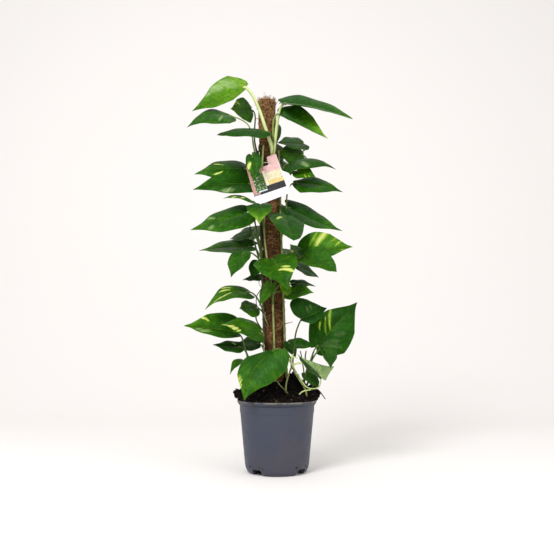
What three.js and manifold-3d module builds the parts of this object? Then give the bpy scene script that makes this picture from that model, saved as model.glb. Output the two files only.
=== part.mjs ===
// A golden pothos that climbs a coir pole in a nursery pot, with a hang label.
// Millimetres, +Z up. The origin is the centre of the pot's underside, and -Y is the front.
import * as THREE from "three";
import { mergeVertices } from "three/addons/utils/BufferGeometryUtils.js";
import Module from "manifold-3d";

const wasm = await Module();
wasm.setup();

// Driving dimensions.
const gap = 0.3; // clearance between neighbouring pieces
const pot = { rim: 85, height: 148, sides: 28, wall: 2.2 };
const notch = { count: 4, first: -39.5, width: 24, height: 12, corner: 4 };
const drain = { count: 8, radius: 3.5, ring: 45, sides: 8 };
const pole = { lean: 0.036, leanFrom: 150, stake: 11, sleeve: 20, sleeveFoot: 118, top: 820 };
const stem = { radius: 3.1, sides: 6, step: 40, foot: 128, spread: 3.6 };
const petiole = { radius: 1.8, sides: 4, steps: 4 };
const blade = { thickness: 0.9, wave: 1.2, small: 90 };
const label = { thickness: 1, front: -28.4, tilt: 19.2, corner: [-50, 586] };
const tie = { level: 664, radius: 0.6, across: 28.6, deep: 29.9, sides: 4, steps: 28 };

const colours = {
  pot: "#5f6b7a",
  soil: "#17120e",
  stake: "#9a7650",
  coir: "#6b4026",
  stem: "#7f8a3f",
  leaf: "#2c6a1c",
  label: "#f2f1f3",
  tie: "#d8dccb",
};

// ---- solids ----------------------------------------------------------------

// Closed geometry to a solid: only positions are kept, and flat triangles on an axis are dropped.
function solidOf(geometry) {
  const bare = geometry.clone();
  bare.deleteAttribute("normal");
  bare.deleteAttribute("uv");
  const merged = mergeVertices(bare, 1e-4);
  const index = merged.index.array;
  const kept = [];
  for (let i = 0; i < index.length; i += 3) {
    const [a, b, c] = [index[i], index[i + 1], index[i + 2]];
    if (a !== b && b !== c && c !== a) kept.push(a, b, c);
  }
  const vertProperties = Float32Array.from(merged.attributes.position.array);
  const triVerts = Uint32Array.from(kept);
  return new wasm.Manifold(new wasm.Mesh({ numProp: 3, vertProperties, triVerts }));
}

function geometryOf(solid) {
  const mesh = solid.getMesh();
  const geometry = new THREE.BufferGeometry();
  geometry.setAttribute("position", new THREE.BufferAttribute(mesh.vertProperties, 3));
  geometry.setIndex(new THREE.BufferAttribute(mesh.triVerts, 1));
  geometry.computeVertexNormals();
  return geometry;
}

function join(solids) {
  return solids.reduce((whole, next) => whole.add(next));
}

// A profile of [radius, height] turned about Z; angles start at the front and run towards +X.
function turned(profile, sides) {
  const points = profile.map(([radius, height]) => new THREE.Vector2(radius, height));
  return new THREE.LatheGeometry(points, sides).rotateX(Math.PI / 2);
}

function rod(radius, from, to, sides, x = 0, y = 0) {
  const profile = [[0, from], [radius, from], [radius, to], [0, to]];
  return turned(profile, sides).translate(x, y, 0);
}

// Leans a geometry with the pole, so that its level rings stay level.
function leaned(geometry) {
  const position = geometry.attributes.position;
  for (let i = 0; i < position.count; i++) {
    position.setX(i, position.getX(i) + poleX(position.getZ(i)));
  }
  return geometry;
}

function poleX(z) {
  return -pole.lean * (z - pole.leanFrom);
}

// A round bar along a curve, with its radius given at both ends.
function bar(curve, steps, sides, startRadius, endRadius) {
  const frames = curve.computeFrenetFrames(steps, false);
  const vertices = [];
  const faces = [];
  for (let i = 0; i <= steps; i++) {
    const centre = curve.getPointAt(i / steps);
    const radius = startRadius + (endRadius - startRadius) * (i / steps);
    for (let k = 0; k < sides; k++) {
      const angle = (2 * Math.PI * k) / sides;
      const point = centre
        .clone()
        .addScaledVector(frames.normals[i], radius * Math.cos(angle))
        .addScaledVector(frames.binormals[i], radius * Math.sin(angle));
      vertices.push(point.x, point.y, point.z);
    }
  }
  const first = vertices.length / 3;
  for (const t of [0, 1]) {
    const end = curve.getPointAt(t);
    vertices.push(end.x, end.y, end.z);
  }
  for (let k = 0; k < sides; k++) {
    const next = (k + 1) % sides;
    for (let i = 0; i < steps; i++) {
      const [a, b] = [i * sides + k, i * sides + next];
      faces.push(a, b, b + sides, a, b + sides, a + sides);
    }
    faces.push(first, next, k);
    faces.push(first + 1, steps * sides + k, steps * sides + next);
  }
  return meshed(vertices, faces);
}

function meshed(vertices, faces) {
  const geometry = new THREE.BufferGeometry();
  geometry.setAttribute("position", new THREE.Float32BufferAttribute(vertices, 3));
  geometry.setIndex(faces);
  return geometry;
}

// Repeatable random numbers from 0 to 1.
function randomFrom(seed) {
  let state = seed;
  return () => {
    state = (state * 1664525 + 1013904223) % 4294967296;
    return state / 4294967296;
  };
}

// ---- pot and soil ----------------------------------------------------------

// Outside from the centre pad over the drainage channel, foot, wall and lip, then down the inside.
function potSolid() {
  const { rim, height, wall } = pot;
  const outside = [
    [0, 0], [38, 0], [39.5, 10], [50.5, 10], [52, 0], [57.5, 0], [62, 2.4], [66, 9], [67.6, 16],
    [rim - 6.6, height - 25], [rim - 5.8, height - 24], [rim - 5.4, height - 10.4], [rim - 3.6, height - 9],
    [rim, height - 3], [rim, height - 1.2], [rim - 1, height],
  ];
  const inside = [
    [rim - 2.2, height], [rim - 4.6, height - 5], [rim - 7.4, height - 10],
    [rim - 6.6 - wall, height - 25], [67.6 - wall, 16], [62.5, 13], [39, 13], [37, 3], [0, 3],
  ];
  let solid = solidOf(turned([...outside, ...inside], pot.sides));
  for (let k = 0; k < notch.count; k++) {
    solid = solid.subtract(notchCutter(notch.first + (360 / notch.count) * k));
  }
  for (let k = 0; k < drain.count; k++) {
    const angle = THREE.MathUtils.degToRad(notch.first + (360 / drain.count) * k);
    const [x, y] = [drain.ring * Math.sin(angle), -drain.ring * Math.cos(angle)];
    solid = solid.subtract(solidOf(rod(drain.radius, 8, 15, drain.sides, x, y)));
  }
  return solid;
}

// A round-shouldered slot through the foot at an angle from the front.
function notchCutter(degrees) {
  const half = notch.width / 2;
  const shape = new THREE.Shape();
  shape.moveTo(-half, -1);
  shape.lineTo(half, -1);
  shape.lineTo(half, notch.height - notch.corner);
  shape.quadraticCurveTo(half, notch.height, half - notch.corner, notch.height);
  shape.lineTo(notch.corner - half, notch.height);
  shape.quadraticCurveTo(-half, notch.height, -half, notch.height - notch.corner);
  const slot = new THREE.ExtrudeGeometry(shape, { depth: 30, bevelEnabled: false, curveSegments: 3 });
  slot.rotateX(Math.PI / 2).translate(0, -46, 0).rotateZ(THREE.MathUtils.degToRad(degrees));
  return solidOf(slot);
}

// How far a clod hangs over the rim at an angle: one on the left, one on the right.
function clod(angle) {
  const left = Math.max(0, 1 - Math.abs(angle - 1.5 * Math.PI) / 0.3);
  const right = Math.max(0, 1 - Math.abs(angle - 0.48 * Math.PI) / 0.42);
  return Math.max(left, right * 0.95);
}

function soilSolid(holes) {
  const { rim, height, wall } = pot;
  const buried = [
    [0, 3 + gap], [36.6, 3 + gap], [38.6, 13 + gap], [62.2, 13 + gap], [67.6 - wall - gap, 16.2],
    [rim - 6.6 - wall - gap, height - 25], [rim - 7.8, height - 9.7], [rim - 4.6, height - 0.8],
  ];
  // Each ring above the rim: radius, height, and how far a clod moves it out and up.
  const open = [
    [79, height + 1, 5, 0], [77.5, 149.8, 15, 7], [74, 151, 19, 14], [68, 154, 16, 20], [59, 160, 5, 15],
    [47, 168, 0, 5], [36, 177, 0, 0], [27, 184, 0, 0], [0, 186, 0, 0],
  ];
  const profile = [...buried, ...open.map(([radius, z]) => [radius, z])];
  const geometry = turned(profile, pot.sides);
  const position = geometry.attributes.position;
  const random = randomFrom(7);
  const lumps = Array.from({ length: pot.sides * open.length }, () => random() - 0.5);
  for (let i = 0; i < position.count; i++) {
    const ring = (i % profile.length) - buried.length;
    if (ring < 0 || ring > open.length - 2) continue;
    const side = Math.floor(i / profile.length) % pot.sides;
    const angle = (2 * Math.PI * side) / pot.sides;
    const [radius, z, outward, upward] = open[ring];
    const lump = lumps[side * open.length + ring];
    const reach = radius + outward * clod(angle) + (ring ? 3.4 * lump : 0);
    const level = z + upward * clod(angle) + (ring ? 4.5 * lump : 0);
    position.setXYZ(i, reach * Math.sin(angle), -reach * Math.cos(angle), level);
  }
  return holes.reduce((whole, hole) => whole.subtract(hole), solidOf(geometry));
}

// ---- pole ------------------------------------------------------------------

function stakeGeometry() {
  return leaned(rod(pole.stake, 3 + gap, pole.top - 8, 12));
}

// Coconut fibre wound round the stake: closed over its top, open at its foot, with wound bands.
function sleeveGeometry() {
  const foot = pole.sleeveFoot;
  const profile = [[pole.stake + gap + 0.2, foot], [pole.sleeve, foot]];
  const bands = 18;
  for (let i = 1; i < bands; i++) {
    const swell = i % 2 ? 0.9 : -0.2;
    profile.push([pole.sleeve + swell - (0.8 * i) / bands, foot + ((pole.top - 12 - foot) * i) / bands]);
  }
  profile.push([pole.sleeve - 1.8, pole.top - 8], [14, pole.top - 1], [8, pole.top + 2.5], [0, pole.top + 3]);
  profile.push([0, pole.top - 8 + gap], [pole.stake + gap + 0.2, pole.top - 8 + gap]);
  profile.push([pole.stake + gap + 0.2, foot]);
  return leaned(turned(profile, 14));
}

// ---- stems, petioles and leaves ---------------------------------------------

// A climbing stem's centre at a height: turns holds [height, degrees round the pole from the front].
// It stands a little off the pole where it comes out of the soil.
function climber(turns) {
  return (z) => {
    const spread = stem.spread * THREE.MathUtils.clamp((240 - z) / 50, 0, 1);
    const radius = pole.sleeve + 1.4 + stem.radius + spread;
    const degrees = between(turns, z)[0];
    const angle = THREE.MathUtils.degToRad(degrees);
    return new THREE.Vector3(poleX(z) + radius * Math.sin(angle), -radius * Math.cos(angle), z);
  };
}

// A free shoot's centre at a height: points holds [height, x, y].
function shoot(points) {
  return (z) => new THREE.Vector3(...between(points, z), z);
}

// Values of a list of [height, value, ...] at a height, in straight steps.
function between(rows, z) {
  let k = 0;
  while (k < rows.length - 2 && z > rows[k + 1][0]) k++;
  const [low, high] = [rows[k], rows[k + 1]];
  const share = (z - low[0]) / (high[0] - low[0]);
  return low.slice(1).map((value, i) => value + (high[i + 1] - value) * share);
}

function stemSolid(centre, foot, top, radius = stem.radius) {
  const count = Math.max(3, Math.ceil((top - foot) / stem.step));
  const points = Array.from({ length: count + 1 }, (_, i) => centre(foot + ((top - foot) * i) / count));
  const curve = new THREE.CatmullRomCurve3(points);
  return solidOf(bar(curve, count + 2, stem.sides, radius, radius * 0.8));
}

// Half of a heart-shaped blade in shares of its length and half width, from the stalk's notch to the tip:
// place on the midrib, place of the margin, and reach of the margin.
const outline = [
  [0, 0, 0],
  [0.02, -0.12, 0.36],
  [0.12, -0.02, 0.82],
  [0.28, 0.22, 1],
  [0.5, 0.48, 0.88],
  [0.72, 0.72, 0.58],
  [0.88, 0.89, 0.24],
  [1, 1, 0],
];
const lobeStations = 2; // how many stations after the first belong to the heart's lobe
const bluntReach = [0, 0, 0, 0, 0, 0.1, 0.2, 0]; // what a blunt blade adds to each station's reach

const upright = new THREE.Vector3(0, 0, 1);

function vector(point) {
  return new THREE.Vector3(...point);
}

// How far an arched or swayed midrib is off its straight line, as a share of its middle.
function bow(u) {
  return 4 * u * (u > 0 ? 1 - u : 1);
}

// A blade's own directions: along from stalk to tip, up out of its upper face, and side to its right;
// and each half's reach from the midrib to its widest place.
function directions(leaf) {
  const { arch = 0, sway = 0, swing = [0, 0] } = leaf;
  const base = vector(leaf.base);
  const along = vector(leaf.tip).sub(base);
  const length = along.length();
  along.normalize();
  const level = along.clone().cross(upright).normalize();
  const rise = level.clone().cross(along);
  const [left, right] = [-1, 1].map((way, k) => {
    const lift = THREE.MathUtils.degToRad(leaf.lift[k]);
    const turn = THREE.MathUtils.degToRad(swing[k]);
    const half = level.clone().multiplyScalar(way * Math.cos(lift)).addScaledVector(rise, Math.sin(lift));
    half.multiplyScalar(Math.cos(turn)).addScaledVector(along, Math.sin(turn));
    return half.multiplyScalar(leaf.half[k]);
  });
  const up = right.clone().sub(left).cross(along).normalize();
  const side = along.clone().cross(up);
  const midrib = (u) =>
    base
      .clone()
      .addScaledVector(along, u * length)
      .addScaledVector(up, arch * bow(u))
      .addScaledVector(side, sway * bow(u));
  const upLeft = along.clone().cross(left).normalize();
  const upRight = right.clone().cross(along).normalize();
  return { base, along, length, up, midrib, left, right, upLeft, upRight };
}

// A thin, slightly waved blade. Both faces are split into triangles alike.
function bladeSolid(leaf) {
  const { midrib, left, right, up, upLeft, upRight } = directions(leaf);
  const { blunt = 0, lobes = [1, 1] } = leaf;
  const small = left.distanceTo(right) < blade.small;
  const shares = small ? [-1, 0, 1] : [-1, -0.5, 0, 0.5, 1];
  const sheet = [];
  const normals = [];
  outline.forEach(([root, edge, reach], station) => {
    for (const share of reach ? shares : [0]) {
      const half = share > 0 ? left : right;
      const lobe = station > 0 && station <= lobeStations ? lobes[share > 0 ? 0 : 1] : 1;
      const wide = (reach + blunt * bluntReach[station]) * lobe;
      const end = edge < 0 ? edge * lobe : edge;
      const away = Math.abs(share);
      const wave = blade.wave * share * share * (station % 2 ? 1 : -1);
      const point = midrib(root + (end - root) * away);
      point.addScaledVector(half, away * wide);
      const normal = share > 0 ? upLeft : share < 0 ? upRight : up;
      sheet.push(point.addScaledVector(normal, wave));
      normals.push(normal);
    }
  });
  const faces = [];
  const rows = outline.length - 2;
  const at = (row, column) => 1 + row * shares.length + column;
  const last = sheet.length - 1;
  for (let column = 0; column < shares.length - 1; column++) {
    faces.push([0, at(0, column), at(0, column + 1)]);
    for (let row = 0; row < rows - 1; row++) {
      faces.push([at(row, column), at(row + 1, column), at(row + 1, column + 1)]);
      faces.push([at(row, column), at(row + 1, column + 1), at(row, column + 1)]);
    }
    faces.push([at(rows - 1, column), last, at(rows - 1, column + 1)]);
  }
  const edge = [0];
  for (let row = 0; row < rows; row++) edge.push(at(row, 0));
  edge.push(last);
  for (let row = rows - 1; row >= 0; row--) edge.push(at(row, shares.length - 1));
  return thickened(sheet, normals, faces, edge);
}

// Two copies of a sheet, half a thickness each way along its normals, closed round its edge.
function thickened(sheet, normals, faces, edge) {
  const count = sheet.length;
  const vertices = [];
  for (const way of [blade.thickness / 2, -blade.thickness / 2]) {
    sheet.forEach((point, i) => {
      vertices.push(...point.clone().addScaledVector(normals[i], way).toArray());
    });
  }
  const triangles = [];
  for (const [a, b, c] of faces) {
    triangles.push(a, b, c, a + count, c + count, b + count);
  }
  edge.forEach((a, i) => {
    const b = edge[(i + 1) % edge.length];
    triangles.push(a, a + count, b + count, a, b + count, b);
  });
  return solidOf(meshed(vertices, triangles));
}

// A leaf stalk leaves its stem outwards and upwards, or along the points it passes,
// and runs into the blade along its midrib.
function petioleSolid(leaf, start, outward) {
  const { base, along, length, midrib } = directions(leaf);
  const end = midrib(Math.min(6 / length, 0.1));
  const reach = start.distanceTo(base);
  const leave = start.clone().addScaledVector(outward, reach * 0.2).addScaledVector(upright, reach * 0.45);
  const enter = base.clone().addScaledVector(along, -reach * (leaf.hook ?? 0.3));
  const curve = leaf.via
    ? new THREE.CatmullRomCurve3([start, ...leaf.via.map(vector), base, end])
    : new THREE.CubicBezierCurve3(start, leave, enter, end);
  const steps = leaf.via ? 2 * petiole.steps : petiole.steps;
  const radius = petiole.radius * (leaf.stout ?? 1);
  return solidOf(bar(curve, steps, petiole.sides, radius * 1.15, radius * 0.8));
}

function leafSolid(leaf, centre) {
  const start = centre(leaf.at);
  const outward = start.clone().setZ(0);
  outward.x -= poleX(start.z);
  return petioleSolid(leaf, start, outward.normalize()).add(bladeSolid(leaf));
}

// ---- leafy stems --------------------------------------------------------------

// Every leaf: the height where its stalk leaves the stem, the blade's base at the stalk and its tip; then
// for its left and right half, seen from the stalk, the reach and the degrees that it lifts from level.
// swing turns a half towards the tip in degrees, arch and sway bend the midrib, lobes scale the heart, and
// blunt widens the blade near its tip. stout scales the stalk, hook is how far it runs in the blade's own
// line, and via holds points that it passes.
const leafyStems = {
  vine_front: {
    centre: climber([[128, -4], [380, -4], [450, -28], [500, -40], [545, -36], [600, -6], [690, 28]]),
    top: 692,
    leaves: [
      { at: 684, base: [-70, -30, 838], tip: [-185, -60, 770], half: [26, 51], lift: [-60, 70],
        swing: [38, -15], lobes: [0.2, 0.5], stout: 2.2, hook: 0.14 },
      { at: 688, base: [15, -30, 800], tip: [164, -65, 750], half: [46, 42], lift: [50, -20],
        swing: [-20, 0], arch: 5, lobes: [0.75, 0.4], blunt: 0.6, stout: 1.9, hook: 0.14 },
      { at: 672, base: [5, -28, 775], tip: [110, -60, 708], half: [45, 34], lift: [68, -12],
        swing: [-12, 20], lobes: [0.6, 0.5] },
      { at: 688, base: [-30, -40, 728], tip: [-130, -65, 714], half: [32, 32], lift: [-50, 27],
        arch: 8, lobes: [0.6, 0.6], blunt: 0.7 },
      { at: 520, base: [-35, -44, 566], tip: [-37, -82, 514], half: [22, 27], lift: [10, 10], arch: 5 },
      { at: 402, base: [-10, -45, 446], tip: [22, -115, 372], half: [46, 48], lift: [35, -10],
        arch: 10, lobes: [0.8, 0.8] },
      { at: 366, base: [27, -38, 376], tip: [76, -70, 372], half: [22, 28], lift: [50, -40], arch: 2 },
      { at: 362, base: [14, -40, 392], tip: [27, -52, 362], half: [13, 10], lift: [30, -40] },
      { at: 352, base: [-12, -34, 394], tip: [-38, -42, 346], half: [14, 17], lift: [-45, 45] },
    ],
  },
  vine_right: {
    centre: climber([[128, 60], [205, 60], [300, 66], [500, 70], [600, 78], [700, 80]]),
    top: 700,
    leaves: [
      { at: 625, base: [22, 8, 670], tip: [130, -25, 650], half: [25, 45], lift: [15, -50], arch: 20 },
      { at: 600, base: [45, -18, 648], tip: [84, -43, 628], half: [17, 20], lift: [65, -55], arch: 2 },
      { at: 512, base: [42, 8, 628], tip: [145, -20, 600], half: [30, 40], lift: [45, -45],
        arch: 7, lobes: [0.7, 0.4] },
      { at: 500, base: [18, -42, 550], tip: [42, -110, 484], half: [53, 38], lift: [-10, 10],
        arch: 4, sway: 9, lobes: [1.2, 0.9], blunt: 1 },
      { at: 526, base: [25, 4, 572], tip: [143, -20, 513], half: [37, 39], lift: [45, -35], arch: -5 },
      { at: 396, base: [57, -38, 454], tip: [160, -60, 470], half: [50, 21], lift: [75, -60], arch: 4 },
      { at: 402, base: [49, -24, 456], tip: [28, -40, 480], half: [16, 14], lift: [35, -30] },
      { at: 388, base: [58, -55, 445], tip: [122, -94, 412], half: [35, 28], lift: [70, -20],
        arch: 3, blunt: 0.6 },
      { at: 380, base: [46, 8, 440], tip: [96, 45, 418], half: [18, 20], lift: [60, -55], arch: 2 },
      { at: 368, base: [35, 2, 400], tip: [86, 14, 394], half: [20, 18], lift: [30, -30], arch: 4 },
      { at: 252, base: [25, -16, 270], tip: [40, -34, 238], half: [15, 16], lift: [0, -10] },
      { at: 246, base: [27, 2, 268], tip: [83, -20, 261], half: [18, 22], lift: [45, -30], arch: 2 },
    ],
  },
  vine_left: {
    centre: climber([[128, -78], [205, -78], [300, -80], [420, -72], [500, -74], [600, -80], [700, -86]]),
    top: 700,
    leaves: [
      { at: 676, base: [-101, -30, 770], tip: [-195, -62, 732], half: [44, 26], lift: [-50, 45],
        arch: 17, lobes: [0.5, 0.5] },
      { at: 692, base: [-60, 10, 803], tip: [-104, -25, 790], half: [30, 30], lift: [-75, 80],
        lobes: [0.8, 0.5] },
      { at: 680, base: [-54, -46, 674], tip: [-46, -62, 618], half: [18, 17], lift: [30, -40] },
      { at: 600, base: [-70, 12, 662], tip: [-184, -20, 640], half: [45, 33], lift: [-55, 50], arch: 11 },
      { at: 575, base: [-60, 8, 627], tip: [-184, -35, 601], half: [45, 38], lift: [-45, 45], arch: 7 },
      { at: 545, base: [-49, -8, 578], tip: [-116, -45, 579], half: [28, 19], lift: [-35, 20],
        arch: 11, lobes: [0.5, 0.5] },
      { at: 478, base: [-67, -22, 553], tip: [-184, -58, 507], half: [45, 38], lift: [-45, 45], arch: -2 },
      { at: 462, base: [-60, 12, 517], tip: [-108, 40, 506], half: [25, 21], lift: [-50, 40], arch: 3 },
      { at: 448, base: [-58, 4, 482], tip: [-174, 14, 475], half: [39, 37], lift: [-30, 40], arch: 3 },
      { at: 440, base: [-74, -30, 461], tip: [-97, -58, 405], half: [25, 24], lift: [-10, 25], arch: 3 },
      { at: 418, base: [-40, -12, 444], tip: [-56, -20, 407], half: [16, 17], lift: [-60, 60], arch: 4 },
      { at: 396, base: [-36, -6, 411], tip: [-76, 2, 407], half: [14, 17], lift: [-35, 40], arch: 2 },
      { at: 338, base: [-61, -22, 376], tip: [-150, -60, 337], half: [32, 25], lift: [-28, 40],
        swing: [20, 0], arch: 20 },
      { at: 332, base: [-43, -10, 344], tip: [-79, -50, 341], half: [28, 27], lift: [-50, 40],
        swing: [25, 0] },
      { at: 256, base: [-33, -42, 286], tip: [-115, -85, 305], half: [34, 33], lift: [-40, 45],
        swing: [20, 0], arch: 8 },
      { at: 248, base: [-38, -8, 268], tip: [-89, 22, 269], half: [26, 26], lift: [-40, 45], arch: 3 },
    ],
  },
  vine_back: {
    centre: climber([[128, 178], [205, 178], [300, 160], [420, 195], [540, 165], [640, 190], [770, 175]]),
    top: 770,
    leaves: [
      { at: 690, base: [61, 45, 735], tip: [0, 10, 724], half: [32, 32], lift: [-45, 45],
        via: [[20, 50, 704], [66, 66, 726]] },
      { at: 668, base: [60, 48, 708], tip: [0, 16, 704], half: [36, 30], lift: [-80, 60],
        lobes: [1, 0.8], via: [[24, 56, 680], [68, 68, 703]] },
      { at: 752, base: [-8, 55, 782], tip: [-4, 132, 754], half: [18, 18], lift: [-5, 5], arch: 6 },
      { at: 716, base: [-14, 62, 738], tip: [-6, 144, 700], half: [34, 32], lift: [5, -15], arch: 6 },
      { at: 676, base: [-34, 62, 694], tip: [-60, 152, 652], half: [40, 38], lift: [-10, 10], arch: 8 },
      { at: 644, base: [20, 66, 680], tip: [54, 146, 660], half: [30, 30], lift: [10, -15], arch: 8 },
      { at: 618, base: [-45, 50, 654], tip: [-88, 122, 644], half: [26, 24], lift: [-10, 5], arch: 8 },
      { at: 558, base: [16, 62, 588], tip: [38, 152, 548], half: [38, 38], lift: [5, -10], arch: 8 },
      { at: 512, base: [-40, 62, 540], tip: [-80, 150, 504], half: [38, 36], lift: [-10, 10], arch: 8 },
      { at: 456, base: [14, 60, 486], tip: [40, 146, 454], half: [36, 36], lift: [5, -10], arch: 8 },
      { at: 430, base: [-20, 58, 458], tip: [-36, 142, 444], half: [22, 24], lift: [-10, 10], arch: 8 },
      { at: 300, base: [-10, 60, 324], tip: [-16, 146, 300], half: [24, 24], lift: [5, -5], arch: 8 },
    ],
  },
  shoot_left: {
    centre: shoot([[150, -44, -18], [192, -44, -18], [215, -52, -22], [240, -62, -28]]),
    foot: 150,
    top: 240,
    leaves: [
      { at: 238, base: [-87, -28, 292], tip: [-195, -52, 304], half: [35, 40], lift: [-30, 70],
        swing: [15, 0], arch: 2 },
      { at: 228, base: [-77, -30, 260], tip: [-135, -42, 265], half: [20, 19], lift: [-40, 40] },
      { at: 214, base: [-67, -36, 230], tip: [-97, -56, 203], half: [11, 12], lift: [-20, 35], arch: 13 },
    ],
  },
  shoot_front: {
    centre: shoot([[140, 18, -42], [185, 18, -42], [221, 31, -46], [226, 32, -47]]),
    foot: 140,
    top: 226,
    leaves: [
      { at: 220, base: [-5, -60, 254], tip: [-65, -98, 153], half: [56, 35], lift: [-45, 45],
        swing: [0, 22], sway: 17, lobes: [0.7, 0.2] },
      { at: 224, base: [51, -52, 318], tip: [106, -40, 342], half: [47, 23], lift: [80, -45],
        swing: [-12, 0], lobes: [1, 0.4], via: [[36, -36, 255], [40, -40, 290]] },
      { at: 222, base: [92, -42, 198], tip: [42, -68, 245], half: [40, 28], lift: [-35, 70],
        swing: [45, -30], lobes: [1, 2], via: [[44, -43, 202], [62, -46, 177], [86, -47, 177]] },
    ],
  },
  shoot_right: {
    centre: shoot([[140, 56, -14], [185, 56, -14], [205, 62, -16], [222, 68, -18]]),
    foot: 140,
    top: 222,
    leaves: [
      { at: 220, base: [84, -15, 260], tip: [174, -12, 357], half: [47, 53], lift: [70, -80],
        arch: 4, lobes: [0.5, 0.6] },
      { at: 216, base: [100, -24, 256], tip: [112, -50, 216], half: [25, 22], lift: [15, 35] },
      { at: 188, base: [60, -26, 205], tip: [88, -36, 175], half: [18, 18], lift: [45, -20], swing: [30, 0] },
    ],
  },
};

function leafyStemSolid({ centre, foot = stem.foot, top, leaves }) {
  return join([stemSolid(centre, foot, top), ...leaves.map((leaf) => leafSolid(leaf, centre))]);
}

// ---- label and tie ---------------------------------------------------------------

// A die-cut plastic tag, tilted in its upright plane, with a stem notch in its top edge.
function labelSolid() {
  const edge = [
    [-1, -20], [75, -17], [79, -5], [91, 10], [90, 26], [76, 37], [75, 73], [52, 73], [52, 58], [29, 58],
    [29, 73], [-1, 73],
  ];
  const shape = new THREE.Shape(edge.map(([u, v]) => new THREE.Vector2(u, v)));
  const plate = new THREE.ExtrudeGeometry(shape, { depth: label.thickness, bevelEnabled: false });
  plate.rotateX(Math.PI / 2).rotateY(-THREE.MathUtils.degToRad(label.tilt));
  plate.translate(label.corner[0], label.front + label.thickness, label.corner[1]);
  // The tie goes through a slot on the right and back through the stem notch.
  const turn = Math.acos((label.thickness / 2 - label.front) / tie.deep);
  const slot = new THREE.BoxGeometry(10, 6, 2 * (tie.radius + gap));
  slot.translate(poleX(tie.level) + tie.across * Math.sin(turn), label.front, tie.level);
  return solidOf(plate).subtract(solidOf(slot));
}

// A closed loop round the pole and all the stems, in front of the label between notch and slot.
function tieGeometry() {
  const loop = new THREE.TorusGeometry(1, tie.radius, tie.sides, tie.steps);
  const position = loop.attributes.position;
  for (let i = 0; i < position.count; i++) {
    const angle = (2 * Math.PI * (i % (tie.steps + 1))) / tie.steps;
    const [x, y] = [Math.cos(angle), Math.sin(angle)];
    const swell = x * position.getX(i) + y * position.getY(i) - 1;
    const [across, deep] = [tie.across + swell, tie.deep + swell];
    position.setXYZ(i, poleX(tie.level) + across * x, deep * y, tie.level + position.getZ(i));
  }
  return loop;
}

// ---- the object --------------------------------------------------------------------

function finish(name, geometry, colour, roughness) {
  const material = new THREE.MeshStandardMaterial({ color: colour, roughness, metalness: 0 });
  const mesh = new THREE.Mesh(geometry, material);
  mesh.name = name;
  return mesh;
}

// Plain holes for the stake, the sleeve and every stem, each a little wider than what stands in it.
function soilHoles() {
  const stakeHole = solidOf(leaned(rod(pole.stake + gap + 0.1, 0, 140, 12)));
  const sleeveHole = solidOf(leaned(rod(pole.sleeve + 1.3, pole.sleeveFoot - gap, 200, 14)));
  const stemHoles = Object.values(leafyStems).map(({ centre, foot = stem.foot, top }) =>
    stemSolid(centre, foot - gap, top, stem.radius + gap + 0.1),
  );
  return [stakeHole, sleeveHole, ...stemHoles];
}

const plant = new THREE.Group();
plant.add(finish("pot", geometryOf(potSolid()), colours.pot, 0.5));
plant.add(finish("soil", geometryOf(soilSolid(soilHoles())), colours.soil, 0.95));
plant.add(finish("pole_stake", geometryOf(solidOf(stakeGeometry())), colours.stake, 0.8));
plant.add(finish("coir_sleeve", geometryOf(solidOf(sleeveGeometry())), colours.coir, 0.95));
for (const [name, leafyStem] of Object.entries(leafyStems)) {
  plant.add(finish(name, geometryOf(leafyStemSolid(leafyStem)), colours.leaf, 0.4));
}
plant.add(finish("label", geometryOf(labelSolid()), colours.label, 0.4));
plant.add(finish("label_tie", geometryOf(solidOf(tieGeometry())), colours.tie, 0.5));

export default plant;
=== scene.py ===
import math

import bpy
import numpy as np
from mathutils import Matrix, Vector, noise


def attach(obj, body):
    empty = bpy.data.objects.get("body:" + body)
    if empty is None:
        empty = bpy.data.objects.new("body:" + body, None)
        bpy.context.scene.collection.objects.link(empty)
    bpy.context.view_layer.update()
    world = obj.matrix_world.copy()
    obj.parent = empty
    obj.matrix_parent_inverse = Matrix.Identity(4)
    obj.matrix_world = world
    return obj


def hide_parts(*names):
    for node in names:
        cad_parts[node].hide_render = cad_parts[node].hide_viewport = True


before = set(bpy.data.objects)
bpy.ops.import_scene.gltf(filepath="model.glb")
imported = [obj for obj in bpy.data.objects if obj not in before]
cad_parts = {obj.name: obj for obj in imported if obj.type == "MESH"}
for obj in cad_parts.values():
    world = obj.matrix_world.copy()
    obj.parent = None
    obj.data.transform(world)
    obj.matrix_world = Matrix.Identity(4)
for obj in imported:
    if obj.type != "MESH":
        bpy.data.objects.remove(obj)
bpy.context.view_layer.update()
mm = 0.001
fullTurn = 2 * math.pi
print("frame loaded")


def unit(v):
    return v / np.linalg.norm(v)


def smooth(low, high, x):
    t = np.clip((x - low) / (high - low), 0, 1)
    return t * t * (3 - 2 * t)


# values of [height, value, ...] rows at a height, in straight steps
def between(rows, z):
    rows = np.array(rows, float)
    return np.array([np.interp(z, rows[:, 0], rows[:, k]) for k in range(1, rows.shape[1])])


# the place a share t of the way from b to c, on a smooth curve through a, b, c and d
def spline(a, b, c, d, t):
    return 0.5 * (2 * b + (c - a) * t + (2 * a - 5 * b + 4 * c - d) * t**2 + (3 * b - a - 3 * c + d) * t**3)


# rows of points with one more at either end, so that a curve can start and stop there
def withEnds(p):
    return np.vstack([2 * p[0] - p[1], p, 2 * p[-1] - p[-2]])


# a smooth curve through points, sampled evenly in count steps
def throughPoints(points, count):
    p = withEnds(np.array(points, float))
    spans = len(p) - 3
    fine = np.array([spline(*p[k : k + 4], t)
                     for k in range(spans) for t in np.linspace(0, 1, 13)[: 12 if k < spans - 1 else 13]])
    length = np.r_[0, np.cumsum(np.linalg.norm(np.diff(fine, axis=0), axis=1))]
    even = np.linspace(0, length[-1], count + 1)
    return np.stack([np.interp(even, length, fine[:, k]) for k in range(3)], 1)


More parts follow.
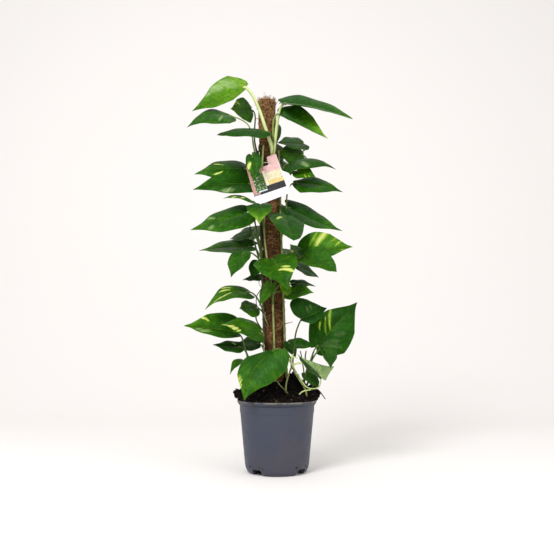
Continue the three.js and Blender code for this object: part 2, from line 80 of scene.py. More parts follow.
def bezier(a, b, c, d, count):
    t = np.linspace(0, 1, count + 1)[:, None]
    return (1 - t) ** 3 * a + 3 * (1 - t) ** 2 * t * b + 3 * (1 - t) * t**2 * c + t**3 * d


# a corner cut back on both sides and bridged by a short curve
def softCorner(before, corner, after, cut, steps):
    a, b = before - corner, after - corner
    reach = min(cut, np.linalg.norm(a) * 0.4, np.linalg.norm(b) * 0.4)
    start, end = corner + unit(a) * reach, corner + unit(b) * reach
    return [(1 - t) ** 2 * start + 2 * t * (1 - t) * corner + t * t * end for t in steps]


# the level direction at a turn round the upright axis, counted from the front
def facing(turn, rise=0):
    return np.array([math.sin(turn), -math.cos(turn), rise])


def evenTurns(count):
    return np.linspace(0, 2 * np.pi, count, endpoint=False)


# four-sided faces between neighbouring rings of points
def ringFaces(count, sides):
    faces = []
    for low in range(0, (count - 1) * sides, sides):
        for k in range(sides):
            n = (k + 1) % sides
            faces.append([low + k, low + n, low + sides + n, low + sides + k])
    return faces


def intoScene(thing):
    bpy.context.scene.collection.objects.link(thing)
    return thing


# gathers vertices, faces, materials and values per point for one object
class Store:
    def __init__(self):
        self.points, self.faces, self.slots, self.maps, self.values = [], [], [], [], []
        self.count = 0

    def add(self, points, faces, slot, uv=None, tone=0.5, tint=0.0, cream=0.0, pale=0.0):
        points = np.asarray(points, float).reshape(-1, 3)
        size = len(points)
        self.points.append(points)
        self.faces += [[v + self.count for v in face] for face in faces]
        self.slots += [slot] * len(faces)
        self.maps.append(np.zeros((size, 2)) if uv is None else np.asarray(uv, float).reshape(-1, 2))
        columns = [np.broadcast_to(np.asarray(v, float), (size,)) for v in (tone, tint, cream, pale)]
        self.values.append(np.stack(columns, 1))
        self.count += size

    def build(self, name, materials, scale=mm, hardEdges=False):
        mesh = bpy.data.meshes.new(name)
        mesh.from_pydata((np.vstack(self.points) * scale).tolist(), [], self.faces)
        for material in materials:
            mesh.materials.append(material)
        mesh.polygons.foreach_set("material_index", self.slots)
        mesh.polygons.foreach_set("use_smooth", [not hardEdges] * len(mesh.polygons))
        corners = np.zeros(len(mesh.loops), int)
        mesh.loops.foreach_get("vertex_index", corners)
        layer = mesh.uv_layers.new(name="growthMap")
        layer.data.foreach_set("uv", np.vstack(self.maps)[corners].ravel())
        values = np.vstack(self.values)
        for k, title in enumerate(("tone", "tint", "cream", "pale")):
            mesh.attributes.new(title, "FLOAT", "POINT").data.foreach_set("value", values[:, k])
        mesh.update()
        return intoScene(bpy.data.objects.new(name, mesh))

    # a round bar along points, radii in the same unit, closed at both ends
    def bar(self, points, radii, sides, slot, ribs=0.0, **values):
        points = np.asarray(points, float)
        radii = np.broadcast_to(np.asarray(radii, float), (len(points),))
        along = np.gradient(points, axis=0)
        along /= np.linalg.norm(along, axis=1)[:, None] + 1e-12
        normal = np.cross(along[0], [0.31, 0.87, 0.38])
        rings = []
        turn = evenTurns(sides)
        rib = 1 + ribs * np.cos(3 * turn)
        length = np.r_[0, np.cumsum(np.linalg.norm(np.diff(points, axis=0), axis=1))]
        for point, way, radius in zip(points, along, radii):
            normal = unit(normal - way * (normal @ way))
            other = np.cross(way, normal)
            ring = np.cos(turn)[:, None] * normal + np.sin(turn)[:, None] * other
            rings.append(point + ring * (radius * rib)[:, None])
        count = len(points)
        vertices = np.vstack(rings + [points[:1], points[-1:]])
        faces = ringFaces(count, sides)
        first, last = count * sides, count * sides + 1
        for k in range(sides):
            n = (k + 1) % sides
            faces.append([first, n, k])
            faces.append([last, (count - 1) * sides + k, (count - 1) * sides + n])
        uv = [[k / sides, length[i]] for i in range(count) for k in range(sides)]
        self.add(vertices, faces, slot, uv + [[0, 0], [0, length[-1]]], **values)

    # rings of points joined into a skin; each ring runs round the same way
    def skin(self, rings, slot, closeFirst=False, closeLast=False, **values):
        rings = np.asarray(rings, float)
        count, sides = rings.shape[:2]
        faces = ringFaces(count, sides)
        if closeFirst:
            faces.append(list(range(sides))[::-1])
        if closeLast:
            faces.append([(count - 1) * sides + k for k in range(sides)])
        self.add(rings.reshape(-1, 3), faces, slot, **values)

    # an angular crumb: a roughened icosahedron, stretched and turned at random
    def crumb(self, place, size, random, slot, **values):
        golden = (1 + 5**0.5) / 2
        flat = [(s, t * golden, 0) for s in (-1, 1) for t in (-1, 1)]
        corners = np.array(flat + [(0, a, b) for a, b, _ in flat] + [(b, 0, a) for a, b, _ in flat])
        turned = np.linalg.qr(random.normal(size=(3, 3)))[0]
        shape = corners * (1 + 0.35 * (random.random((12, 1)) - 0.5)) * (0.6 + 0.8 * random.random(3))
        shape = shape @ turned * (size / 1.9) + place
        near = corners @ corners.T > 0.4 * golden
        faces = [[a, b, c] for a in range(12) for b in range(a) for c in range(b)
                 if near[a, b] and near[b, c] and near[a, c]]
        faces = [f if np.linalg.det(corners[f]) > 0 else f[::-1] for f in faces]
        self.add(shape, faces, slot, **values)



# a new material with its main shader and a helper that adds and wires nodes
class Finish:
    def __init__(self, name, roughness=0.5, specular=0.5, sheenTint=(1, 1, 1)):
        self.material = bpy.data.materials.new(name)
        self.material.use_nodes = True
        self.tree = self.material.node_tree
        self.shader = next(n for n in self.tree.nodes if n.type == "BSDF_PRINCIPLED")
        self.shader.inputs["Roughness"].default_value = roughness
        self.shader.inputs["Specular IOR Level"].default_value = specular
        self.shader.inputs["Specular Tint"].default_value = (*sheenTint, 1)

    def node(self, kind, **settings):
        made = self.tree.nodes.new(kind)
        for key, value in settings.items():
            setattr(made, key, value)
        return made

    def wire(self, source, target):
        self.tree.links.new(source, target)

    def value(self, title):
        return self.node("ShaderNodeAttribute", attribute_name=title).outputs["Fac"]

    # where a point lies: in the object, or in the growth map with uv
    def place(self, scale=(1, 1, 1), uv=False):
        if uv:
            coordinates = self.node("ShaderNodeUVMap", uv_map="growthMap")
        else:
            coordinates = self.node("ShaderNodeTexCoord")
        mapping = self.node("ShaderNodeMapping")
        mapping.inputs["Scale"].default_value = scale
        self.wire(coordinates.outputs["UV" if uv else "Object"], mapping.inputs["Vector"])
        return mapping.outputs["Vector"]

    def noise(self, vector, scale, detail=3.0, roughness=0.55, distortion=0.0):
        made = self.node("ShaderNodeTexNoise")
        self.wire(vector, made.inputs["Vector"])
        made.inputs["Scale"].default_value = scale
        made.inputs["Detail"].default_value = detail
        made.inputs["Roughness"].default_value = roughness
        made.inputs["Distortion"].default_value = distortion
        return made.outputs["Fac"]

    def parts(self, vector):
        made = self.node("ShaderNodeSeparateXYZ")
        self.wire(vector, made.inputs[0])
        return made.outputs

    def calc(self, operation, a, b=0.0):
        made = self.node("ShaderNodeMath", operation=operation)
        for socket, value in zip(made.inputs, (a, b)):
            if isinstance(value, (int, float)):
                socket.default_value = value
            else:
                self.wire(value, socket)
        return made.outputs[0]

    def plus(self, a, b):
        return self.calc("ADD", a, b)

    def minus(self, a, b):
        return self.calc("SUBTRACT", a, b)

    def times(self, a, b):
        return self.calc("MULTIPLY", a, b)

    # a value moved up and down by a noise, which is taken about its middle
    def stir(self, value, noisy, strength):
        return self.plus(value, self.times(self.minus(noisy, 0.5), strength))

    # a value stretched from one range to another, smoothly and inside its limits
    def span(self, value, low, high, start=0.0, end=1.0):
        made = self.node("ShaderNodeMapRange", interpolation_type="SMOOTHSTEP")
        self.wire(value, made.inputs["Value"])
        for title, number in (("From Min", low), ("From Max", high), ("To Min", start), ("To Max", end)):
            made.inputs[title].default_value = number
        return made.outputs["Result"]

    def ramp(self, factor, stops):
        made = self.node("ShaderNodeValToRGB")
        band = made.color_ramp
        while len(band.elements) < len(stops):
            band.elements.new(0.5)
        for element, (position, colour) in zip(band.elements, stops):
            element.position = position
            element.color = (*colour, 1)
        self.wire(factor, made.inputs["Fac"])
        return made.outputs["Color"]

    def mix(self, factor, a, b, blend="MIX"):
        made = self.node("ShaderNodeMix", data_type="RGBA", blend_type=blend)
        for title, value in (("Factor", factor), ("A", a), ("B", b)):
            socket = made.inputs[title]
            if isinstance(value, tuple):
                socket.default_value = (*value, 1)
            elif isinstance(value, (int, float)):
                socket.default_value = value
            else:
                self.wire(value, socket)
        return made.outputs["Result"]

    def bump(self, height, depth, under=None):
        made = self.node("ShaderNodeBump")
        made.inputs["Strength"].default_value = 1.0
        made.inputs["Distance"].default_value = depth
        self.wire(height, made.inputs["Height"])
        if under is not None:
            self.wire(under, made.inputs["Normal"])
        return made.outputs["Normal"]

    def done(self, colour, normal=None, roughness=None):
        self.wire(colour, self.shader.inputs["Base Color"])
        if normal is not None:
            self.wire(normal, self.shader.inputs["Normal"])
        if roughness is not None:
            self.wire(roughness, self.shader.inputs["Roughness"])
        return self.material


# every colour here is linear red, green and blue
leafLook = {
    "darkGreen": (0.003, 0.022, 0.001),
    "midGreen": (0.015, 0.080, 0.002),
    "freshGreen": (0.072, 0.205, 0.003),
    "paleGreen": (0.270, 0.420, 0.050),
    "yellowGreen": (0.215, 0.340, 0.014),
    "cream": (0.600, 0.620, 0.190),
    # the next colour is painted sheen, which stands in for highlights on the leaves
    "glaze": (0.360, 0.500, 0.200),
    "underside": (0.040, 0.074, 0.030),
    "sheenTint": (0.50, 1.00, 0.45),
    "backGreens": [(0.0, (0.028, 0.060, 0.024)), (0.5, (0.066, 0.124, 0.040)), (1.0, (0.300, 0.400, 0.130))],
    "backSideVein": (0.17, 0.24, 0.10),
    "backMidVein": (0.40, 0.50, 0.20),
    "veinPairs": 9,
}
stalkLook = {
    "stalk": [(0.0, (0.016, 0.026, 0.008)), (0.35, (0.060, 0.105, 0.020)), (0.7, (0.280, 0.370, 0.100)),
              (1.0, (0.640, 0.720, 0.340))],
    "stem": [(0.2, (0.022, 0.016, 0.008)), (0.45, (0.070, 0.082, 0.022)), (0.7, (0.230, 0.270, 0.080)),
             (1.0, (0.440, 0.470, 0.190))],
    "root": [(0.2, (0.016, 0.010, 0.006)), (0.6, (0.120, 0.100, 0.048)), (1.0, (0.560, 0.520, 0.320))],
}


# the growth map's first value runs across the blade from 0 to 1, its second is the same all along a side
# vein and grows from stalk to tip
def veinLines(finish):
    across = finish.parts(finish.place(uv=True))
    away = finish.calc("ABSOLUTE", finish.minus(across["X"], 0.5))
    wave = finish.calc("COSINE", finish.times(across["Y"], fullTurn * leafLook["veinPairs"]))
    side = finish.span(wave, 0.90, 1.0)
    middle = finish.span(away, 0.004, 0.024, 1.0, 0.0)
    return away, side, middle


def waxyLeafTop():
    finish = Finish("waxyLeafTop", roughness=0.34, specular=0.17, sheenTint=leafLook["sheenTint"])
    away, side, middle = veinLines(finish)
    tone = finish.value("tone")
    body = finish.place()
    cloud = finish.noise(body, 55, 5, 0.65)
    along = finish.noise(finish.place((2.4, 30, 1), uv=True), 1.0, 5, 0.7)
    mixed = finish.stir(finish.stir(tone, cloud, 0.75), along, 0.75)
    mixed = finish.plus(mixed, finish.times(side, 0.09))
    green = finish.ramp(mixed, [(0.0, leafLook["darkGreen"]), (0.38, leafLook["midGreen"]),
                                (0.74, leafLook["freshGreen"]), (1.0, leafLook["paleGreen"])])
    # streaks follow the side veins: a cream core, a yellow-green skirt and torn edges
    torn = finish.noise(finish.place((7, 62, 1), uv=True), 1.0, 5, 0.75)
    streak = finish.stir(finish.value("cream"), torn, 0.9)
    colour = finish.mix(finish.span(streak, 0.22, 0.46, 0.0, 0.85), green, leafLook["freshGreen"])
    colour = finish.mix(finish.span(streak, 0.42, 0.58), colour, leafLook["yellowGreen"])
    colour = finish.mix(finish.span(streak, 0.54, 0.72), colour, leafLook["cream"])
    fleck = finish.span(finish.noise(finish.place((5, 52, 1), uv=True), 1.6, 3, 0.6), 0.66, 0.76, 0.0, 0.55)
    fleck = finish.times(fleck, finish.span(tone, 0.3, 0.6))
    colour = finish.mix(fleck, colour, leafLook["paleGreen"])
    # painted sheen: pale patches along the side veins stand in for highlights on the leaf; the same mix makes
    # a whole half pale where a leaf sets halfPale
    glaze = finish.times(finish.value("pale"), finish.span(along, 0.35, 0.6, 0.25, 1.0))
    colour = finish.mix(glaze, colour, leafLook["glaze"])
    colour = finish.mix(finish.times(middle, 0.13), colour, leafLook["paleGreen"])
    colour = finish.mix(finish.times(finish.value("tint"), 0.7), colour, leafLook["underside"])
    colour = finish.mix(finish.span(away, 0.480, 0.5, 0.0, 0.3), colour, leafLook["freshGreen"])
    groove = finish.minus(finish.times(side, -0.8), finish.times(middle, 1.5))
    normal = finish.bump(groove, 0.0005)
    normal = finish.bump(along, 0.0011, normal)
    rough = finish.span(finish.noise(body, 90, 3), 0.3, 0.7, 0.24, 0.42)
    return finish.done(colour, normal, rough)


def mattLeafBack():
    finish = Finish("mattLeafBack", roughness=0.6, specular=0.15, sheenTint=leafLook["sheenTint"])
    away, side, middle = veinLines(finish)
    mixed = finish.stir(finish.value("tone"), finish.noise(finish.place(), 50, 4), 0.3)
    green = finish.ramp(mixed, leafLook["backGreens"])
    colour = finish.mix(finish.times(side, 0.2), green, leafLook["backSideVein"])
    colour = finish.mix(finish.times(middle, 0.6), colour, leafLook["backMidVein"])
    colour = finish.mix(finish.span(finish.value("cream"), 0.45, 0.6, 0.0, 0.6), colour, leafLook["cream"])
    ridge = finish.plus(side, finish.times(middle, 2.5))
    return finish.done(colour, finish.bump(ridge, 0.0006))


def stalkSkin():
    finish = Finish("greenStalk", roughness=0.42, specular=0.2, sheenTint=leafLook["sheenTint"])
    streak = finish.noise(finish.place((14, 0.02, 1), uv=True), 1.0, 3)
    patch = finish.noise(finish.place(), 60, 3)
    mixed = finish.stir(finish.stir(finish.value("tone"), patch, 0.35), streak, 0.25)
    return finish.done(finish.ramp(mixed, stalkLook["stalk"]), finish.bump(streak, 0.0004))


def stemSkin():
    finish = Finish("climbingStem", roughness=0.5, specular=0.3)
    patch = finish.noise(finish.place(), 45, 4)
    streak = finish.noise(finish.place((10, 0.03, 1), uv=True), 1.0, 3)
    mixed = finish.plus(finish.times(patch, 0.75), finish.times(streak, 0.35))
    mixed = finish.plus(mixed, finish.minus(finish.value("tone"), 0.55))
    return finish.done(finish.ramp(mixed, stalkLook["stem"]), finish.bump(streak, 0.0006))


def rootSkin():
    finish = Finish("aerialRoot", roughness=0.75, specular=0.2)
    patch = finish.noise(finish.place(), 150, 3)
    mixed = finish.plus(patch, finish.minus(finish.value("tone"), 0.5))
    return finish.done(finish.ramp(mixed, stalkLook["root"]), finish.bump(patch, 0.0004))


plantSkins = [waxyLeafTop(), mattLeafBack(), stalkSkin(), stemSkin(), rootSkin()]
top, back, stalk, stemSlot, rootSlot = range(5)
print("plant materials made")

pole = {"lean": 0.036, "leanFrom": 150, "sleeve": 20, "sleeveFoot": 118, "top": 820}
stem = {
    "radius": 3.1, "cling": 0.2, "foot": 128, "spread": 3.6, "sides": 12, "step": 4.0, "taper": 0.2,
    "knuckle": 42, "knuckleSwell": 0.75, "rootsFrom": 200, "rootsEach": 3,
}
stalkSize = {"radius": 1.8, "sides": 8, "steps": 14, "taper": 0.35, "footSwell": 0.9, "kneeSwell": 0.35}
blade = {
    "thickness": 0.7, "rows": 72, "columns": 24, "camber": 0.10, "ruffle": 1.1, "pucker": 0.5,
    "grooveDepth": 0.8, "grooveWidth": 1.7, "veinSlant": 0.3, "veinStray": 0.012, "drawnTip": 0.42,
}


# the pole's middle at a height: it leans a little to the left on its way up
def poleX(z):
    return -pole["lean"] * (z - pole["leanFrom"])


# the middle of a stem that winds up the pole, from rows of height and turn in degrees
def climber(turns):
    def centre(z):
        spread = stem["spread"] * np.clip((240 - z) / 50, 0, 1)
        radius = pole["sleeve"] + stem["cling"] + stem["radius"] + spread
        angle = math.radians(between(turns, z)[0])
        return np.array([poleX(z) + radius * math.sin(angle), -radius * math.cos(angle), z])

    return centre


# the middle of a free shoot, from rows of height, x and y
def shoot(points):
    return lambda z: np.array([*between(points, z), z])


# half of a heart-shaped blade: place on the midrib, place of the margin, reach of the margin
stations = np.array([
    [0, 0, 0], [0.02, -0.12, 0.36], [0.12, -0.02, 0.82], [0.28, 0.22, 1],
    [0.5, 0.48, 0.88], [0.72, 0.72, 0.58], [0.88, 0.89, 0.24], [1, 1, 0],
])


# the same half drawn as a smooth curve, with how far along the list each row lies
def fineStations(count):
    steps = np.linspace(0, len(stations) - 1, count + 1)
    curve = withEnds(stations)
    rows = []
    for s in steps:
        k = min(int(s), len(stations) - 2)
        rows.append(spline(*curve[k : k + 4], s - k))
    rows = np.array(rows)
    rows[:, 2] = np.clip(rows[:, 2], 0, None)
    return rows, steps


# how far a bowed midrib is from a straight one: nothing at both ends, 1 half way
def bow(u):
    return 4 * u * (1 - u if u > 0 else 1)


# the midrib of a blade and which way its two halves reach out from it
def directions(leaf):
    base = np.array(leaf["base"], float)
    along = np.array(leaf["tip"], float) - base
    length = np.linalg.norm(along)
    along /= length
    level = unit(np.cross(along, [0, 0, 1]))
    rise = np.cross(level, along)
    halves = []
    for way, reach, lift, swing in zip((-1, 1), leaf["half"], leaf["lift"], leaf.get("swing", (0, 0))):
        lift, swing = math.radians(lift), math.radians(swing)
        half = level * way * math.cos(lift) + rise * math.sin(lift)
        halves.append((half * math.cos(swing) + along * math.sin(swing)) * reach)
    left, right = halves
    up = unit(np.cross(right - left, along))
    bend = up * leaf.get("arch", 0) + np.cross(along, up) * leaf.get("sway", 0)

    def midrib(u):
        return base + along * u * length + bend * bow(u)

    return base, along, length, up, midrib, left, right


# how strongly a list of streaks covers a place on the blade: 1 on a streak's own line, 0.5 at its edge
def streakAt(streaks, phase, share):
    best = 0.0
    for line, start, stop, width, *strength in streaks:
        along = (share - start) / (stop - start)
        if 0 < along < 1:
            first, last = line if isinstance(line, tuple) else (line, line)
            full = math.sin(math.pi * along**1.5)
            off = abs(phase - first - (last - first) * along)
            cover = (1 - 0.5 * off / (width * (0.15 + 0.85 * full))) * min(1, 3 * full)
            best = max(best, cover * (strength[0] if strength else 1))
    return best


# how far the margin stands off the midrib, as a share of the half's full reach
def marginReach(leaf, way, root, step, fullReach):
    blunt, corner = leaf.get("blunt", 0), leaf.get("corner", (0, 0))[way]
    reach = fullReach + blunt * float(np.interp(step, (4, 5, 6, 7), (0, 0.1, 0.2, 0)))
    reach += corner * (min(root / 0.2, (1 - root) / 0.8) ** 1.6 - reach)
    drawn = 0 if blunt else blade["drawnTip"]
    return reach * (1 - drawn * float(np.interp(root, (0.6, 0.9, 1), (0, 1, 1))))


# a blade as two sheets with an edge between: cambered, grooved along the midrib, puckered between veins
def addBlade(store, leaf, random):
    base, along, length, up, midrib, left, right = directions(leaf)
    rows, steps = fineStations(blade["rows"])
    phaseShift = random.random() * 6
    shares = np.linspace(-1, 1, blade["columns"] + 1)
    upLeft, upRight = unit(np.cross(along, left)), unit(np.cross(right, along))
    tone = leaf.get("tone", 0.4)
    tipTone = leaf.get("tipTone", tone)
    points, maps, creams, tones, pales = [], [], [], [], []
    for (root, edge, fullReach), step in zip(rows, steps):
        for share in shares:
            away, way = abs(share), 0 if share > 0 else 1
            half, normal = (left, right)[way], (upLeft, upRight)[way]
            lobe = 1 + (leaf.get("lobes", (1, 1))[way] - 1) * float(np.clip(min(step, 3 - step), 0, 1))
            end = edge * lobe if edge < 0 else edge
            reach = marginReach(leaf, way, root, step, fullReach)
            u = root + (end - root) * away
            size = np.linalg.norm(half) * reach
            phase = u - blade["veinSlant"] * away**1.2 * reach
            camber = blade["camber"] * size * math.sin(math.pi * away) * 0.55
            groove = -blade["grooveDepth"] * math.exp(-((away * size / blade["grooveWidth"]) ** 2))
            ruffle = blade["ruffle"] * away**3 * math.sin(step * 3.1 + phaseShift + share)
            pucker = math.cos(fullTurn * leafLook["veinPairs"] * phase) * away * (1 - away**3)
            ripple = (ruffle - blade["pucker"] * pucker) * min(1, size / 15)
            rise = camber + groove * min(1, size / 8) + ripple
            points.append(midrib(u) + half * away * reach * lobe + normal * rise)
            maps.append((0.5 + 0.5 * share, phase + blade["veinStray"] * math.sin(9 * phase + phaseShift)))
            tones.append(tone + (tipTone - tone) * max(0, u) ** 1.5)
            creams.append(streakAt(leaf.get("cream", ()), phase, share))
            # painted sheen streaks, standing in for highlights along the veins, add to the pale value
            glaze = 0.8 * streakAt(leaf.get("glaze", ()), phase, share)
            pales.append(min(1, leaf.get("halfPale", (0, 0))[way] * min(1, away * 8) + glaze))
    points = np.array(points)
    wide = len(shares)
    grid = points.reshape(len(rows), wide, 3)
    normals = np.cross(np.gradient(grid, axis=0), np.gradient(grid, axis=1))
    normals /= np.linalg.norm(normals, axis=2)[..., None] + 1e-9
    normals[0], normals[-1] = up, up
    flip = np.sign(np.sum(normals * up, axis=2))
    normals *= np.where(flip == 0, 1, flip)[..., None]
    lower = points - normals.reshape(-1, 3) * blade["thickness"]
    faces = [[a, a + wide, a + wide + 1, a + 1]
             for i in range(len(rows) - 1) for a in range(i * wide, i * wide + wide - 1)]
    values = {"tint": leaf.get("tint", 0.0), "cream": creams, "pale": pales}
    store.add(points, faces, top, maps, tone=tones, **values)
    store.add(lower, [face[::-1] for face in faces], back, maps, tone=leaf.get("backTone", 0.4), **values)
    rim = [i * wide for i in range(len(rows))] + [i * wide + wide - 1 for i in range(len(rows))][::-1]
    size = len(rim)
    faces = [[n, n + size, (n + 1) % size + size, (n + 1) % size] for n in range(size)]
    store.add(np.vstack([points[rim], lower[rim]]), faces, top, np.array(maps)[rim * 2], tone=0.6,
              tint=values["tint"])
    return midrib, along, length, base


# a blade and the stalk that carries it, from the stem to a little way up the midrib
def addLeaf(store, leaf, centre, random):
    midrib, along, length, base = addBlade(store, leaf, random)
    start = centre(leaf["at"])
    outward = unit(np.array([start[0] - poleX(start[2]), start[1], 0]))
    end = midrib(min(6 / length, 0.1))
    reach = np.linalg.norm(start - base)
    if "via" in leaf:
        path = throughPoints([start, *leaf["via"], base, end], 2 * stalkSize["steps"])
    else:
        leave = start + outward * reach * 0.2 + np.array([0, 0, reach * 0.45])
        enter = base - along * reach * leaf.get("hook", 0.3)
        path = bezier(start, leave, enter, end, stalkSize["steps"])
    share = np.linspace(0, 1, len(path))
    radius = stalkSize["radius"] * leaf.get("stout", 1)
    radii = radius * (1.15 - stalkSize["taper"] * share)
    radii = radii + stalkSize["footSwell"] * np.exp(-((share / 0.07) ** 2))
    radii = radii + stalkSize["kneeSwell"] * np.exp(-(((share - 0.97) / 0.05) ** 2))
    store.bar(path, radii, stalkSize["sides"], stalk, ribs=0.06, tone=leaf.get("stalkTone", 0.45))


# a point of a stem, the way in to the pole and the way round it
def gripAt(centre, z):
    point = centre(z)
    inward = unit(np.array([poleX(z) - point[0], -point[1], 0]))
    return point, inward, np.cross(inward, [0, 0, 1])


# a stem with a swelling at each knuckle, and short clinging roots there
def addStem(store, centre, foot, reachTop, random, tone, girth=1.0):
    heights = np.arange(foot, reachTop + 1, stem["step"])
    drawn = np.array([centre(z) for z in heights])
    path = drawn.copy()
    for k in range(3, len(path) - 3):
        weights = np.exp(-(((heights - heights[k]) / 14.0) ** 2))
        path[k] = (drawn * weights[:, None]).sum(0) / weights.sum()
    ring = np.exp(-((((heights + 17) % stem["knuckle"]) - stem["knuckle"] / 2) / 3.2) ** 2)
    taper = 1 - stem["taper"] * (heights - foot) / (reachTop - foot)
    radii = girth * (stem["radius"] * taper + stem["knuckleSwell"] * ring)
    store.bar(path, radii, stem["sides"], stemSlot, tone=tone)
    for z in heights[(ring > 0.9) & (heights >= stem["rootsFrom"])]:
        point, inward, sideways = gripAt(centre, z)
        for _ in range(stem["rootsEach"]):
            reach = 5 + 5 * random.random()
            turn = (random.random() - 0.5) * 2.4
            a = point + sideways * turn * 1.5
            b = point + inward * 1.5 + sideways * turn * 4 + np.array([0, 0, -2])
            c = point + inward * 3.2 + sideways * turn * reach + np.array([0, 0, -reach * 0.7])
            store.bar(throughPoints([a, b, c], 5), [0.9, 0.8, 0.7, 0.6, 0.5, 0.3], 5, rootSlot, tone=0.35)


# one leaf: the height where its stalk leaves the stem, base and tip of the midrib, then for its left and
# right half, seen from the stalk, the reach and the lift in degrees. Further values, where a leaf has them:
# swing turns a half towards the tip; arch and sway bow the midrib up and sideways; lobes sizes the two
# lobes at the base; blunt fills out the tip; corner makes a half angular; stout, hook and via shape the
# stalk; tone, tipTone, backTone, stalkTone, halfPale and tint set how light or dull each part is.
# cream holds streaks of pale variegation; the sheen list holds streaks of painted sheen, standing in for
# highlights along the veins. Each gives its line along the midrib, or the lines it starts and stops on, the
# shares of the half where it starts and stops (below zero on the right), width, and strength below 1.
def leafRow(at, base, tip, half, lift, **more):
    return {"at": at, "base": base, "tip": tip, "half": half, "lift": lift, **more}


